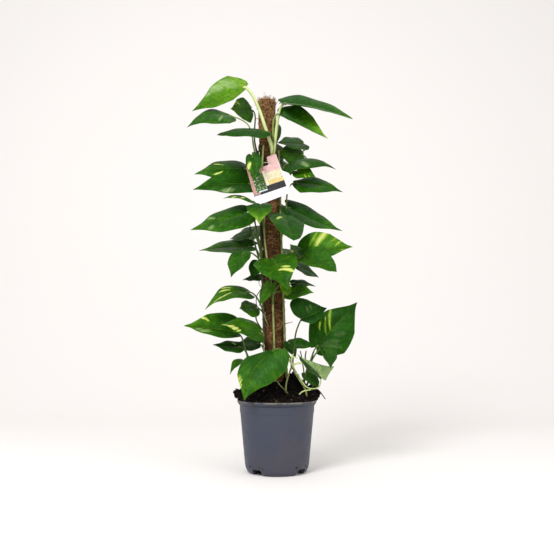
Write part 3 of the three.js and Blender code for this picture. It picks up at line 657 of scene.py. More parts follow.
plants = {
    "frontVine": {
        "node": "vine_front", "top": 692, "tone": 0.75, "girth": 0.74,
        "centre": climber([[128, -4], [380, -4], [450, -28], [500, -40], [545, -36], [600, -6], [690, 28]]),
        "leaves": [
            leafRow(684, (-70, -30, 838), (-185, -60, 770), (26, 51), (-60, 70), swing=(38, -15),
                    lobes=(0.2, 0.5), stout=2.2, hook=0.14, via=[(-13, -28, 706), (-25, -29, 742),
                    (-38, -30, 782), (-54, -31, 818)], tone=0.78, tipTone=0.5, stalkTone=0.95,
                    glaze=[(0.14, -0.1, -0.95, 0.11), (0.34, -0.25, -1.0, 0.12), (0.52, -0.5, -1.0, 0.06)]),
            leafRow(688, (15, -30, 800), (164, -65, 750), (46, 42), (50, -20), swing=(-20, 0), arch=5,
                    lobes=(0.75, 0.4), blunt=0.6, stout=1.9, hook=0.14, tone=0.26, tipTone=0.5,
                    stalkTone=0.9),
            leafRow(672, (5, -28, 775), (110, -60, 708), (45, 34), (68, -12), swing=(-12, 20),
                    lobes=(0.6, 0.5), tone=0.26, tipTone=0.95, stalkTone=0.6),
            leafRow(688, (-20, -42, 729), (-130, -65, 714), (32, 32), (-50, 27), arch=8, lobes=(0.6, 0.6),
                    blunt=0.7, tone=0.22, stalkTone=0.4),
            leafRow(520, (-35, -44, 566), (-37, -82, 514), (27, 30), (10, 10), arch=5, lobes=(0.5, 0.5),
                    tone=0.2, tipTone=1.0),
            leafRow(402, (-10, -45, 446), (22, -115, 372), (46, 48), (35, -10), arch=10, lobes=(0.8, 0.8),
                    tone=0.42, cream=[((0.46, 0.53), -0.35, 1.15, 0.05), (0.40, 0.0, 0.65, 0.035, 0.85)]),
            leafRow(366, (27, -38, 376), (76, -70, 372), (22, 28), (50, -40), arch=2, tone=0.45),
            leafRow(362, (14, -40, 392), (27, -52, 362), (13, 10), (30, -40), tone=0.75),
            leafRow(352, (-12, -34, 394), (-38, -42, 346), (14, 17), (-45, 45), tone=0.5, tint=0.1),
        ],
    },
    "rightVine": {
        "node": "vine_right", "top": 700, "tone": 0.62, "mats": [(210, 690, 70)],
        "centre": climber([[128, 60], [205, 60], [300, 66], [500, 70], [600, 78], [700, 80]]),
        "leaves": [
            leafRow(625, (22, 8, 670), (130, -25, 650), (25, 45), (15, -50), arch=20, tone=0.26, tint=0.2,
                    glaze=[(0.3, -0.2, -0.9, 0.06), (0.8, -0.2, 0.8, 0.06)]),
            leafRow(600, (45, -18, 648), (84, -43, 628), (17, 20), (65, -55), arch=2, tone=0.5,
                    cream=[((0.40, 0.5), -0.1, -1.0, 0.06, 0.75), ((0.62, 0.7), -0.1, -0.9, 0.05, 0.75)]),
            leafRow(512, (42, 8, 628), (145, -20, 600), (30, 40), (45, -45), arch=7, lobes=(0.7, 0.4),
                    tone=0.36),
            leafRow(500, (18, -42, 541), (34, -110, 474), (40, 38), (-8, 8), arch=4, sway=4,
                    lobes=(0.6, 1.2), blunt=1, tone=0.28, cream=[((0.08, 0.14), -0.1, -0.7, 0.045)]),
            leafRow(526, (25, 4, 572), (143, -20, 513), (37, 39), (45, -35), arch=-5, tone=0.12,
                    tipTone=0.55),
            leafRow(396, (57, -38, 454), (160, -60, 470), (50, 21), (75, -60), arch=4, tone=0.3,
                    tipTone=0.62, cream=[(0.5, -0.2, 1.3, 0.5, 0.40),
                    ((0.20, 0.26), 0.0, 1.25, 0.14, 0.74), (0.06, 0.2, 1.1, 0.06, 0.6),
                    ((0.62, 0.70), 0.0, 1.0, 0.05, 0.66), ((0.50, 0.56), 0.3, 1.2, 0.04, 0.66),
                    (0.74, -0.1, -0.9, 0.08, 0.62)]),
            leafRow(402, (49, -24, 456), (28, -40, 480), (16, 14), (35, -30), tone=0.4,
                    cream=[(0.4, -0.1, -0.95, 0.13)]),
            leafRow(388, (58, -55, 445), (122, -94, 412), (35, 28), (70, -20), arch=3, blunt=0.6,
                    tone=0.42),
            leafRow(380, (46, 8, 440), (96, 45, 418), (18, 20), (60, -55), arch=2, tone=0.15, tint=0.4),
            leafRow(368, (35, 2, 400), (86, 14, 394), (20, 18), (30, -30), arch=4, tone=0.12),
            leafRow(252, (25, -16, 270), (40, -34, 238), (15, 16), (0, -10), tone=0.15),
            leafRow(246, (27, 2, 268), (83, -20, 261), (18, 22), (45, -30), arch=2, tone=0.36),
        ],
    },
    "leftVine": {
        "node": "vine_left", "top": 700, "tone": 0.4, "mats": [(250, 450, 110), (450, 690, 60)],
        "centre": climber([[128, -78], [205, -78], [300, -80], [420, -72], [500, -74], [600, -80],
                           [700, -86]]),
        "leaves": [
            leafRow(676, (-101, -30, 770), (-195, -62, 732), (44, 26), (-50, 45), arch=17,
                    lobes=(0.5, 0.5), via=[(-52, -8, 704), (-57, -6, 738), (-66, -8, 760),
                    (-84, -18, 769)], tone=0.4, tipTone=0.36, stalkTone=0.7, glaze=[(0.2, 0.1, 0.8, 0.03),
                    (0.1, -0.1, -0.6, 0.02)]),
            leafRow(692, (-60, 10, 803), (-104, -25, 790), (34, 30), (-75, 80), lobes=(0.5, 0.6),
                    tone=0.42, tipTone=0.55, stalkTone=0.2, tint=0.25,
                    cream=[((0.40, 0.5), -0.2, -1.05, 0.09, 0.75), (0.6, -0.4, -0.9, 0.05, 0.7)]),
            leafRow(680, (-54, -46, 674), (-46, -62, 618), (18, 17), (30, -40), tone=0.28, tipTone=0.5,
                    cream=[(0.25, -0.1, -1.0, 0.16)]),
            leafRow(600, (-70, 12, 662), (-184, -20, 640), (35, 36), (-78, 46), arch=11, tone=0.24,
                    tipTone=0.5, cream=[((0.40, 0.54), 0.15, 0.65, 0.045),
                    ((0.34, 0.46), -0.2, -0.75, 0.04), ((0.50, 0.58), 0.3, 0.7, 0.03, 0.8)]),
            leafRow(575, (-60, 8, 627), (-184, -35, 601), (42, 33), (-45, 80), arch=7, tone=0.26,
                    tipTone=0.4, glaze=[(0.3, 0.4, 0.98, 0.09)]),
            leafRow(545, (-49, -8, 578), (-116, -45, 579), (28, 19), (-35, 20), arch=11, lobes=(0.5, 0.5),
                    tone=0.36, cream=[((0.60, 0.7), 0.1, 1.05, 0.09, 0.8), ((0.3, 0.42), 0.1, 0.9, 0.06)]),
            leafRow(478, (-67, -22, 553), (-184, -58, 507), (45, 38), (-45, 45), arch=-2, tone=0.3,
                    tipTone=0.55, glaze=[(0.45, -0.3, -0.9, 0.04), (0.6, 0.1, 0.8, 0.04)]),
            leafRow(462, (-60, 12, 517), (-108, 40, 506), (25, 21), (-50, 40), arch=3, tone=0.42, tint=0.1),
            leafRow(448, (-58, 4, 482), (-174, 14, 475), (39, 37), (-30, 40), arch=3, tone=0.4,
                    tipTone=0.5),
            leafRow(440, (-74, -30, 461), (-97, -58, 405), (25, 24), (-10, 25), arch=3, tone=0.38),
            leafRow(418, (-40, -12, 444), (-56, -20, 407), (16, 17), (-60, 60), arch=4, tone=0.18),
            leafRow(396, (-36, -6, 411), (-76, 2, 407), (14, 17), (-35, 40), arch=2, tone=0.15),
            leafRow(338, (-61, -22, 376), (-150, -60, 337), (32, 25), (-28, 40), swing=(20, 0), arch=20,
                    tone=0.38, tipTone=0.6, cream=[((0.28, 0.62), 0.0, 0.6, 0.085),
                    ((0.30, 0.48), -0.1, -0.7, 0.07), ((0.55, 0.75), 0.1, 0.8, 0.06, 0.85),
                    ((0.18, 0.3), -0.3, -0.95, 0.05)]),
            leafRow(332, (-43, -10, 344), (-79, -50, 341), (28, 27), (-50, 40), swing=(25, 0), tone=0.46,
                    tint=0.05),
            leafRow(256, (-33, -42, 286), (-115, -85, 305), (34, 33), (-40, 45), swing=(20, 0), arch=8,
                    tone=0.44, cream=[(0.90, -0.3, 0.95, 0.10), (0.74, -0.2, 1.0, 0.12),
                    (0.56, 0.2, 1.0, 0.10), (0.40, 0.5, 0.95, 0.05)]),
            leafRow(248, (-38, -8, 268), (-89, 22, 269), (26, 26), (-40, 45), arch=3, tone=0.14),
        ],
    },
    "backVine": {
        "node": "vine_back", "top": 770, "tone": 0.5,
        "centre": climber([[128, 178], [205, 178], [300, 160], [420, 195], [540, 165], [640, 190],
                           [770, 175]]),
        "leaves": [
            leafRow(690, (61, 45, 735), (0, 10, 724), (32, 32), (-45, 45), via=[(20, 50, 704),
                    (66, 66, 726)], tone=0.4, tint=0.3),
            leafRow(668, (60, 48, 708), (0, 16, 704), (36, 30), (-80, 60), lobes=(1, 0.8),
                    via=[(24, 56, 680), (68, 68, 703)], tone=0.46, tint=0.3),
            leafRow(752, (-8, 55, 782), (-4, 132, 754), (18, 18), (-5, 5), arch=6, tone=0.42),
            leafRow(716, (-14, 62, 738), (-6, 144, 700), (34, 32), (5, -15), arch=6, tone=0.38,
                    cream=[(0.4, 0.1, 0.8, 0.04)]),
            leafRow(676, (-34, 62, 694), (-60, 152, 652), (40, 38), (-10, 10), arch=8, tone=0.46),
            leafRow(664, (12, 66, 702), (48, 146, 688), (30, 30), (-60, -50), arch=8, tone=0.34,
                    cream=[(0.3, -0.1, -0.9, 0.05), (0.6, 0.1, 0.8, 0.03)]),
            leafRow(618, (-45, 50, 654), (-88, 122, 644), (26, 24), (-10, 5), arch=8, tone=0.4),
            leafRow(558, (16, 62, 588), (38, 152, 548), (38, 38), (5, -10), arch=8, tone=0.5,
                    cream=[(0.5, 0.0, -0.8, 0.04)]),
            leafRow(512, (-40, 62, 540), (-80, 150, 504), (38, 36), (-10, 10), arch=8, tone=0.32),
            leafRow(456, (14, 60, 486), (40, 146, 454), (36, 36), (5, -10), arch=8, tone=0.44),
            leafRow(430, (-20, 58, 458), (-36, 142, 444), (22, 24), (-10, 10), arch=8, tone=0.36,
                    cream=[(0.35, 0.1, 0.9, 0.05)]),
            leafRow(300, (-10, 60, 324), (-16, 146, 300), (24, 24), (5, -5), arch=8, tone=0.42),
        ],
    },
    "leftShoot": {
        "node": "shoot_left", "foot": 150, "top": 240, "tone": 0.5,
        "centre": shoot([[150, -44, -18], [192, -44, -18], [215, -52, -22], [240, -62, -28]]),
        "leaves": [
            leafRow(238, (-87, -28, 292), (-195, -52, 304), (35, 40), (-30, 70), swing=(15, 0), arch=2,
                    tone=0.34, tipTone=0.68, cream=[((0.42, 0.53), -0.25, -1.15, 0.05),
                    ((0.25, 0.4), 0.3, 0.9, 0.05, 0.62)], glaze=[(0.45, 0.2, 0.9, 0.08),
                    (0.62, 0.1, 0.8, 0.06)]),
            leafRow(228, (-77, -30, 260), (-135, -42, 265), (20, 19), (-40, 40), tone=0.22,
                    cream=[(0.12, -0.2, -0.7, 0.05)]),
            leafRow(214, (-67, -36, 230), (-97, -56, 203), (11, 12), (-20, 35), arch=13, tone=0.4),
        ],
    },
    "frontShoot": {
        "node": "shoot_front", "foot": 140, "top": 226, "tone": 0.7, "girth": 0.6,
        "centre": shoot([[140, 18, -42], [185, 18, -42], [221, 31, -46], [226, 32, -47]]),
        "leaves": [
            leafRow(220, (-5, -60, 254), (-65, -98, 153), (56, 35), (-45, 45), swing=(0, 22), sway=17,
                    lobes=(0.7, 0.2), tone=0.34, tipTone=0.5,
                    cream=[((0.56, 0.62), -0.4, -1.15, 0.05, 0.85),
                    ((0.47, 0.52), -0.5, -1.15, 0.04, 0.85), ((0.66, 0.71), -0.5, -1.15, 0.04, 0.85),
                    ((0.40, 0.43), -0.65, -1.15, 0.035, 0.8)]),
            leafRow(224, (51, -52, 318), (106, -40, 342), (47, 23), (80, -45), swing=(-12, 0),
                    lobes=(1, 0.4), via=[(36, -36, 255), (40, -40, 290)], tone=0.14, stalkTone=0.2,
                    glaze=[(0.45, 0.15, 0.6, 0.035, 0.3), (0.3, 0.1, 0.5, 0.035, 0.3)]),
            leafRow(222, (92, -42, 198), (42, -68, 245), (40, 45), (-35, 70), swing=(45, -30),
                    lobes=(1, 1.4), corner=(0, 1), stout=0.75, via=[(44, -43, 202), (62, -46, 177),
                    (86, -47, 177)], tone=0.2, backTone=0.95, stalkTone=0.85, halfPale=(0.0, 0.9)),
        ],
    },
    "rightShoot": {
        "node": "shoot_right", "foot": 140, "top": 222, "tone": 0.5,
        "centre": shoot([[140, 56, -14], [185, 56, -14], [205, 62, -16], [222, 68, -18]]),
        "leaves": [
            leafRow(220, (84, -15, 260), (174, -12, 357), (47, 53), (70, -80), arch=4, lobes=(0.5, 0.6),
                    tone=0.24, cream=[((0.34, 0.42), -0.25, 1.15, 0.05, 0.70),
                    ((0.24, 0.30), -0.2, 0.8, 0.035, 0.64), ((0.14, 0.17), 0.3, 0.75, 0.035, 0.8)],
                    glaze=[((0.10, 0.16), -0.05, -0.6, 0.035, 0.28),
                    ((0.30, 0.34), -0.15, -0.6, 0.035, 0.28), ((0.02, 0.05), -0.1, -0.8, 0.035, 0.28)]),
            leafRow(216, (100, -24, 256), (112, -50, 216), (25, 22), (15, 35), tone=0.34, tint=0.3),
            leafRow(188, (60, -26, 205), (88, -36, 175), (18, 18), (45, -20), swing=(30, 0), tone=0.4,
                    tint=0.3),
        ],
    },
}

# clinging roots, sheaths and bare shoots round the stems, each with its skin, tone, radius at both ends
# and the points it runs through
strands = {
    "vine_left": [
        ("root", 0.2, (1.0, 0.8), [(-30, -26, 386), (-34, -30, 383), (-43, -34, 368), (-44, -34, 352),
         (-40, -31, 344), (-29, -27, 333)]),
        ("root", 0.95, (1.6, 1.9), [(-37, -22, 300), (-34, -29, 296), (-31, -31, 290), (-29, -30, 284)]),
        ("root", 0.95, (1.4, 1.2), [(-30, -26, 268), (-27, -31, 262), (-28, -33, 256), (-26, -32, 250)]),
        ("root", 0.8, (0.9, 0.6), [(-34, -28, 248), (-30, -32, 240), (-33, -34, 232)]),
        ("root", 0.3, (0.8, 0.6), [(-33, -22, 420), (-37, -27, 414), (-35, -29, 406), (-39, -27, 398),
         (-36, -25, 390)]),
        ("root", 0.45, (0.8, 0.5), [(-30, -24, 410), (-33, -28, 402), (-29, -29, 396), (-34, -28, 388),
         (-31, -26, 378)]),
        ("stalk", 0.2, (1.6, 1.4), [(-45, -30, 330), (-44, -33, 318), (-38, -33, 306), (-31, -29, 296)]),
        ("stem", 0.7, (1.3, 0.5), [(-28, -25, 330), (-24, -29, 318), (-19, -28, 306)]),
        ("stalk", 0.12, (1.0, 1.5), [(-64, -22, 552), (-56, -28, 508), (-44, -31, 470), (-36, -28, 436)]),
        ("stalk", 0.2, (1.0, 1.5), [(-62, -16, 520), (-54, -24, 498), (-42, -28, 458), (-34, -26, 424)]),
        ("stalk", 0.25, (0.9, 1.3), [(-50, -24, 560), (-46, -28, 520), (-40, -29, 480), (-33, -27, 446)]),
        ("stalk", 0.72, (2.4, 1.6), [(-33, -27, 655), (-31, -30, 690), (-30, -28, 704)]),
    ],
    "shoot_front": [
        ("stem", 0.66, (1.3, 1.8), [(31, -46, 218), (38, -46, 205), (48, -43, 190), (59, -38, 172),
         (62, -36, 158)]),
        ("stalk", 1.0, (2.2, 1.6), [(32, -47, 221), (42, -49, 226), (54, -49, 226), (64, -48, 223)]),
        ("stalk", 0.95, (2.4, 1.0), [(31, -47, 224), (26, -49, 232), (21, -50, 240), (30, -52, 240),
         (43, -52, 237)]),
        ("stalk", 1.0, (2.6, 0.8), [(32, -47, 222), (30, -51, 229), (31, -52, 238), (34, -52, 246)]),
        ("stem", 0.6, (1.3, 1.1), [(0, -52, 191), (6, -54, 182), (14, -54, 174), (22, -50, 165),
         (24, -47, 158)]),
        ("stalk", 0.9, (1.4, 1.5), [(70, -46, 172), (62, -48, 171), (52, -48, 168), (46, -46, 162)]),
    ],
    "vine_right": [
        ("root", 0.35, (1.0, 0.5), [(16, -16, 309), (22, -19, 311), (28, -20, 312), (34, -19, 314)]),
        ("stalk", 0.15, (2.1, 1.3), [(60, -18, 170), (66, -24, 190), (66, -26, 216), (60, -25, 236),
         (62, -24, 252)]),
        ("stalk", 0.2, (2.2, 1.4), [(74, -18, 168), (77, -22, 196), (74, -22, 226), (77, -21, 250)]),
        ("stalk", 0.3, (1.7, 1.1), [(52, -6, 170), (58, -14, 196), (54, -16, 230), (50, -14, 252)]),
    ],
}


# a mat of short roots that grips the pole beside a stem, between two heights
def addRootMat(store, centre, low, high, count, random):
    for _ in range(count):
        z = low + (high - low) * random.random()
        point, inward, sideways = gripAt(centre, z)
        steps = [point + inward * 1.5 + sideways * random.normal() * 2]
        for _ in range(3):
            step = sideways * random.normal() * 3.5 + np.array([0, 0, random.normal() * 5 - 2])
            steps.append(steps[-1] + step + inward * (0.6 * random.random() - 0.1))
        path = throughPoints(steps, 9)
        store.bar(path, np.linspace(0.8, 0.4, 10), 5, rootSlot, tone=0.1 + 0.35 * random.random())


def addStrands(store, node):
    skins = {"root": rootSlot, "stalk": stalk, "stem": stemSlot}
    for skin, tone, radius, points in strands.get(node, ()):
        path = throughPoints(points, 7 * (len(points) - 1))
        store.bar(path, np.linspace(*radius, len(path)), 8, skins[skin], ribs=0.05, tone=tone)


random = np.random.default_rng(4)
for name, plant in plants.items():
    store = Store()
    foot = plant.get("foot", stem["foot"])
    addStem(store, plant["centre"], foot, plant["top"], random, plant["tone"], plant.get("girth", 1))
    for leaf in plant["leaves"]:
        addLeaf(store, leaf, plant["centre"], random)
    addStrands(store, plant["node"])
    for low, high, count in plant.get("mats", ()):
        addRootMat(store, plant["centre"], low, high, count, random)
    piece = store.build(name, plantSkins)
    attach(piece, "root")
    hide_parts(plant["node"])
    print(name, "grown with", len(plant["leaves"]), "leaves,", len(piece.data.polygons), "faces")

potLook = {
    "rim": 85, "height": 148, "wall": 2.2, "sides": 144,
    "colour": (0.046, 0.054, 0.082), "warmer": (0.058, 0.056, 0.076), "edge": (0.085, 0.092, 0.092),
    # the lip colour paints a highlight along the top of the lip; the one after it paints shade under the lip
    # and inside the pressed marks
    "lip": (0.200, 0.180, 0.140), "paintedShade": (0.012, 0.014, 0.018),
    "notchFirst": -39.5, "notchCount": 4, "notchWidth": 24, "notchHeight": 12, "notchCorner": 4,
    "drainRadius": 3.5, "drainRing": 45, "drainCount": 8,
    "scuff": (61, -48, 72), "scuffSize": 5, "scuffColour": (0.016, 0.020, 0.042),
    "dirt": (0.020, 0.014, 0.010), "markAngles": (-15, -9, 8, 14), "markHeights": (17, 21, 19, 15),
}


def turnedRings(profile, sides):
    circle = [facing(turn)[:2] for turn in evenTurns(sides)]
    return [[(r * x, r * y, z) for x, y in circle] for r, z in profile]


# a profile whose corners are cut by short, rounded steps
def rounded(profile, cut):
    p = np.array(profile, float)
    out = [p[0]]
    for before, corner, after in zip(p, p[1:], p[2:]):
        out += softCorner(before, corner, after, cut, (0, 0.33, 0.67, 1))
    return out + [p[-1]]


# grey plastic, dusty and soiled near the lip, with a painted highlight along the lip's top, painted shade
# just under the lip, and one dark scuff
def potPlastic():
    finish = Finish("greyPotPlastic", roughness=0.5, specular=0.3)
    body = finish.place()
    colour = finish.mix(finish.span(finish.noise(body, 9, 2), 0.4, 0.6), potLook["colour"], potLook["warmer"])
    dust = finish.span(finish.noise(body, 260, 4, 0.7), 0.56, 0.72, 0.0, 0.22)
    colour = finish.mix(dust, colour, potLook["edge"])
    level = finish.parts(body)["Z"]
    soiled = finish.span(finish.noise(body, 120, 4), 0.45, 0.6)
    soiled = finish.times(finish.span(level, 0.139, 0.147, 0.0, 0.5), soiled)
    colour = finish.mix(soiled, colour, potLook["dirt"])
    # painted highlight: a pale tan line along the top of the lip, broken up by noise
    lipHighlightPatches = finish.span(finish.noise(body, 55, 3), 0.36, 0.56)
    lip = finish.times(finish.span(level, 0.1442, 0.1456, 0.0, 0.75), lipHighlightPatches)
    colour = finish.mix(lip, colour, potLook["lip"])
    # painted shade: a dark line just under the lip, where the step would throw its shadow
    under = finish.span(level, 0.1400, 0.1425, 1.0, 0.0)
    under = finish.times(finish.span(level, 0.1375, 0.1390, 0.0, 0.55), under)
    colour = finish.mix(under, colour, potLook["paintedShade"])
    distance = finish.node("ShaderNodeVectorMath", operation="DISTANCE")
    finish.wire(body, distance.inputs[0])
    distance.inputs[1].default_value = [v * mm for v in potLook["scuff"]]
    ragged = finish.stir(distance.outputs["Value"], finish.noise(body, 320, 2), 0.006)
    mark = finish.span(ragged, potLook["scuffSize"] * 0.4 * mm, potLook["scuffSize"] * 0.7 * mm, 0.85, 0.0)
    colour = finish.mix(mark, colour, potLook["scuffColour"])
    grain = finish.bump(finish.noise(body, 700, 2), 0.00012)
    rough = finish.span(finish.noise(body, 60, 3), 0.3, 0.7, 0.42, 0.58)
    return finish.done(colour, grain, rough)


# the pot's profile, turned: centre pad, drainage channel, foot, wall, collar and lip, then down inside
def potBody(material):
    rim, height, wall = potLook["rim"], potLook["height"], potLook["wall"]
    outside = [
        (38, 0), (39.5, 10), (50.5, 10), (52, 0), (57.5, 0), (62, 2.4), (66, 9), (67.6, 16),
        (rim - 6.6, height - 25), (rim - 5.8, height - 24), (rim - 5.4, height - 10.4),
        (rim - 3.6, height - 9), (rim, height - 3), (rim, height - 1.2), (rim - 1, height),
    ]
    inside = [
        (rim - 2.2, height), (rim - 4.6, height - 5), (rim - 7.4, height - 10),
        (rim - 6.6 - wall, height - 25), (67.6 - wall, 16), (62.5, 13), (39, 13), (37, 3),
    ]
    profile = [(0.5, 0)] + rounded([(8, 0), *outside, *inside, (8, 3)], 1.0) + [(0.5, 3)]
    store = Store()
    store.skin(turnedRings(profile, potLook["sides"]), 0, closeFirst=True, closeLast=True)
    return store.build("nurseryPot", [material])


# small pressed marks beside each notch: a raised ring round a dark disc, painted shade standing in for a
# hollow
def pressedMarks(materials):
    store = Store()
    up = np.array([0.0, 0.0, 1.0])
    for k in range(potLook["notchCount"]):
        for side, high in zip(potLook["markAngles"], potLook["markHeights"]):
            outward = facing(math.radians(potLook["notchFirst"] + 90 * k + side))
            sideways = np.cross(outward, up)
            middle = outward * (67.75 if high > 16 else 67.2) + up * high
            turns = np.linspace(0, 2 * np.pi, 25)
            loop = [middle + 2.9 * math.cos(a) * sideways + 2.0 * math.sin(a) * up for a in turns]
            store.bar(loop, 0.55, 8, 0)
            # a flat dark disc, painted shade standing in for the inside of the hollow
            flat = np.array([middle + outward * 0.1 + 2.5 * math.cos(a) * sideways + 1.7 * math.sin(a) * up
                             for a in turns[:-1]])
            store.skin([flat, flat - outward * 1.2], 1, closeFirst=True, closeLast=True)
    marks = store.build("pressedMarks", materials)
    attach(marks, "root")


# closed blocks that are only there to be cut out of the pot
def cutter(name, blocks):
    store = Store()
    for rings in blocks:
        store.skin(rings, 0, closeFirst=True, closeLast=True)
    return store.build(name, [])


# slots with round shoulders, through the foot
def notchRings():
    half, high, corner = potLook["notchWidth"] / 2, potLook["notchHeight"], potLook["notchCorner"]
    arc = [(half - corner + corner * math.cos(a), high - corner + corner * math.sin(a))
           for a in np.linspace(0, math.pi / 2, 6)]
    outline = [(half, -1), *arc, *[(-x, z) for x, z in arc[::-1]], (-half, -1)]
    step = 2 * math.pi / potLook["notchCount"]
    for k in range(potLook["notchCount"]):
        angle = math.radians(potLook["notchFirst"]) + k * step
        c, s = math.cos(angle), math.sin(angle)
        yield [[(x * c + r * s, x * s - r * c, z) for x, z in outline] for r in (46, 76)]


# round holes through the raised channel of the floor
def drainRings():
    radius = potLook["drainRadius"]
    for k in range(potLook["drainCount"]):
        angle = math.radians(potLook["notchFirst"] + 360 / potLook["drainCount"] * k)
        x, y = potLook["drainRing"] * math.sin(angle), -potLook["drainRing"] * math.cos(angle)
        hole = [(x + radius * math.cos(a), y + radius * math.sin(a)) for a in evenTurns(20)]
        yield [[(*point, z) for point in hole] for z in (8, 15)]


# takes the cutters out of a piece and keeps the result as its own mesh
def carve(piece, cutters):
    for tool in cutters:
        change = piece.modifiers.new("cut", "BOOLEAN")
        change.operation, change.solver, change.object = "DIFFERENCE", "EXACT", tool
    bpy.context.view_layer.update()
    seen = piece.evaluated_get(bpy.context.evaluated_depsgraph_get())
    mesh = bpy.data.meshes.new_from_object(seen)
    piece.modifiers.clear()
    piece.data = mesh
    for tool in cutters:
        bpy.data.objects.remove(tool, do_unlink=True)
    mesh.polygons.foreach_set("use_smooth", [True] * len(mesh.polygons))
    mesh.set_sharp_from_angle(angle=math.radians(38))


plasticSkin = potPlastic()
nurseryPot = potBody(plasticSkin)
carve(nurseryPot, [cutter("notches", notchRings()), cutter("drains", drainRings())])
# painted shade: a plain dark material for those discs
paintedShade = Finish("paintedHollowShade", roughness=0.7, specular=0.1)
paintedShade.shader.inputs["Base Color"].default_value = (*potLook["paintedShade"], 1)
pressedMarks([plasticSkin, paintedShade.material])
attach(nurseryPot, "root")
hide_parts("pot")
print("pot moulded:", len(nurseryPot.data.polygons), "faces")

soilLook = {
    "dark": (0.003, 0.002, 0.002), "damp": (0.009, 0.007, 0.005), "violet": (0.022, 0.014, 0.020),
    "fibre": (0.090, 0.055, 0.035), "sides": 200, "rings": 80, "crumbs": 1500, "fibres": 130,
    "shadeHeapHeight": 27, "heapTurn": 0.54 * math.pi, "heapWidth": 0.7, "heapRadius": 40, "heapSpread": 17,
}
# radius, height, and how far a clod moves each ring out and up
soilRings = [
    (77.4, 141, 0, 0), (79, 149, 5, 0), (77.5, 149.8, 15, 7), (74, 151, 19, 14), (68, 154, 16, 20),
    (59, 160, 5, 15), (47, 168, 0, 5), (36, 177, 0, 0), (27, 184, 0, 0), (8, 186, 0, 0),
]


# two clods hang over the rim, one on the left and one on the right
def clod(angle):
    left = max(0, 1 - abs(angle - 1.5 * math.pi) / 0.3)
    right = max(0, 1 - abs(angle - 0.48 * math.pi) / 0.42)
    return max(left, right * 0.95)


# the mix is heaped up against the stems on the right; the heap is also a dark mass that stands in for the
# shade among the stems there
def shadeHeapAt(angle, radius):
    across = (angle - soilLook["heapTurn"]) / soilLook["heapWidth"]
    outward = (radius - soilLook["heapRadius"]) / soilLook["heapSpread"]
    return soilLook["shadeHeapHeight"] * math.exp(-(across**2) - outward**2)


# a point of the mound, from the pot's wall at share 0 to its top at 1, roughened by lumps
def soilPlace(angle, share):
    rows = [(i, *row) for i, row in enumerate(soilRings)]
    radius, level, outward, upward = between(rows, share * (len(soilRings) - 1))
    clump = clod(angle % fullTurn)
    reach, level = radius + outward * clump, level + upward * clump + shadeHeapAt(angle % fullTurn, radius)
    place = np.array([reach * math.sin(angle), -reach * math.cos(angle), level])
    rough = smooth(0.06, 0.2, share)
    lump = noise.noise(Vector(place / 11)) * 3.0 + noise.noise(Vector(place / 4)) * 1.5
    fine = noise.noise(Vector(place / 1.6)) * 0.8
    return place * (1 + 0.012 * lump * rough) + np.array([0, 0, (lump * 0.6 + fine) * rough])


def peat():
    finish = Finish("darkPeat", roughness=0.95, specular=0.1)
    body = finish.place()
    damp = finish.span(finish.noise(body, 130, 5, 0.7), 0.4, 0.65)
    colour = finish.mix(damp, soilLook["dark"], soilLook["damp"])
    patches = finish.span(finish.noise(body, 70, 3), 0.56, 0.7, 0.0, 0.7)
    colour = finish.mix(patches, colour, soilLook["violet"])
    colour = finish.mix(finish.span(finish.value("tone"), 0.5, 1.0, 0.0, 0.9), colour, soilLook["fibre"])
    return finish.done(colour, finish.bump(finish.noise(body, 420, 4, 0.7), 0.0012))


random = np.random.default_rng(11)
store = Store()
turns = evenTurns(soilLook["sides"])
rings = [[soilPlace(a, i / soilLook["rings"]) for a in turns] for i in range(soilLook["rings"] + 1)]
store.skin([[(64 * math.sin(a), -64 * math.cos(a), 128) for a in turns], *rings], 0,
           closeFirst=True, closeLast=True, tone=0.2)
for _ in range(soilLook["crumbs"]):
    place = soilPlace(random.random() * 2 * np.pi, random.random() ** 1.3 * 0.9 + 0.1)
    size = 1.2 + 2.6 * random.random() ** 2
    store.crumb(place, size, random, 0, tone=float(random.random() ** 6))
for _ in range(soilLook["fibres"]):
    place = soilPlace(random.random() * 2 * np.pi, 0.12 + 0.7 * random.random())
    way = unit(random.normal(size=3) * (1, 1, 0.35)) * (4 + 9 * random.random())
    bend = random.normal(size=3) * 1.5
    path = throughPoints([place - way / 2, place + bend + (0, 0, 1.2), place + way / 2], 8)
    store.bar(path, np.linspace(0.5, 0.25, 9), 5, 0, tone=0.3 + 0.7 * random.random())
# a dark stick lies out over the right side of the rim
store.bar(throughPoints([(84, -16, 172), (91, -18, 166), (97, -20, 158), (102, -21, 151)], 12),
          np.linspace(1.4, 0.9, 13), 8, 0, tone=0.35)
potSoil = store.build("pottingSoil", [peat()])
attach(potSoil, "root")
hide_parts("soil")
print("soil heaped:", len(potSoil.data.polygons), "faces")

coirLook = {
    "shadow": (0.036, 0.016, 0.006), "brown": (0.205, 0.092, 0.032), "light": (0.480, 0.280, 0.120),
    "strands": 2700, "strandSteps": 7, "strandRadius": (0.28, 0.60), "frizz": 240, "frizzRadius": 0.32,
    "rings": 150, "sides": 56,
}


# fibre in shadow, brown and light; darker is the share of shadow mixed in, for the core behind the strands
def coirFibre(name, darker):
    finish = Finish(name, roughness=0.9, specular=0.12)
    body = finish.place()
    mixed = finish.stir(finish.value("tone"), finish.noise(body, 28, 4), 0.9)
    stops = [(0.1, coirLook["shadow"]), (0.5, coirLook["brown"]), (0.95, coirLook["light"])]
    colour = finish.ramp(mixed, stops)
    colour = finish.mix(darker, colour, coirLook["shadow"])
    return finish.done(colour, finish.bump(finish.noise(body, 600, 3), 0.0006))


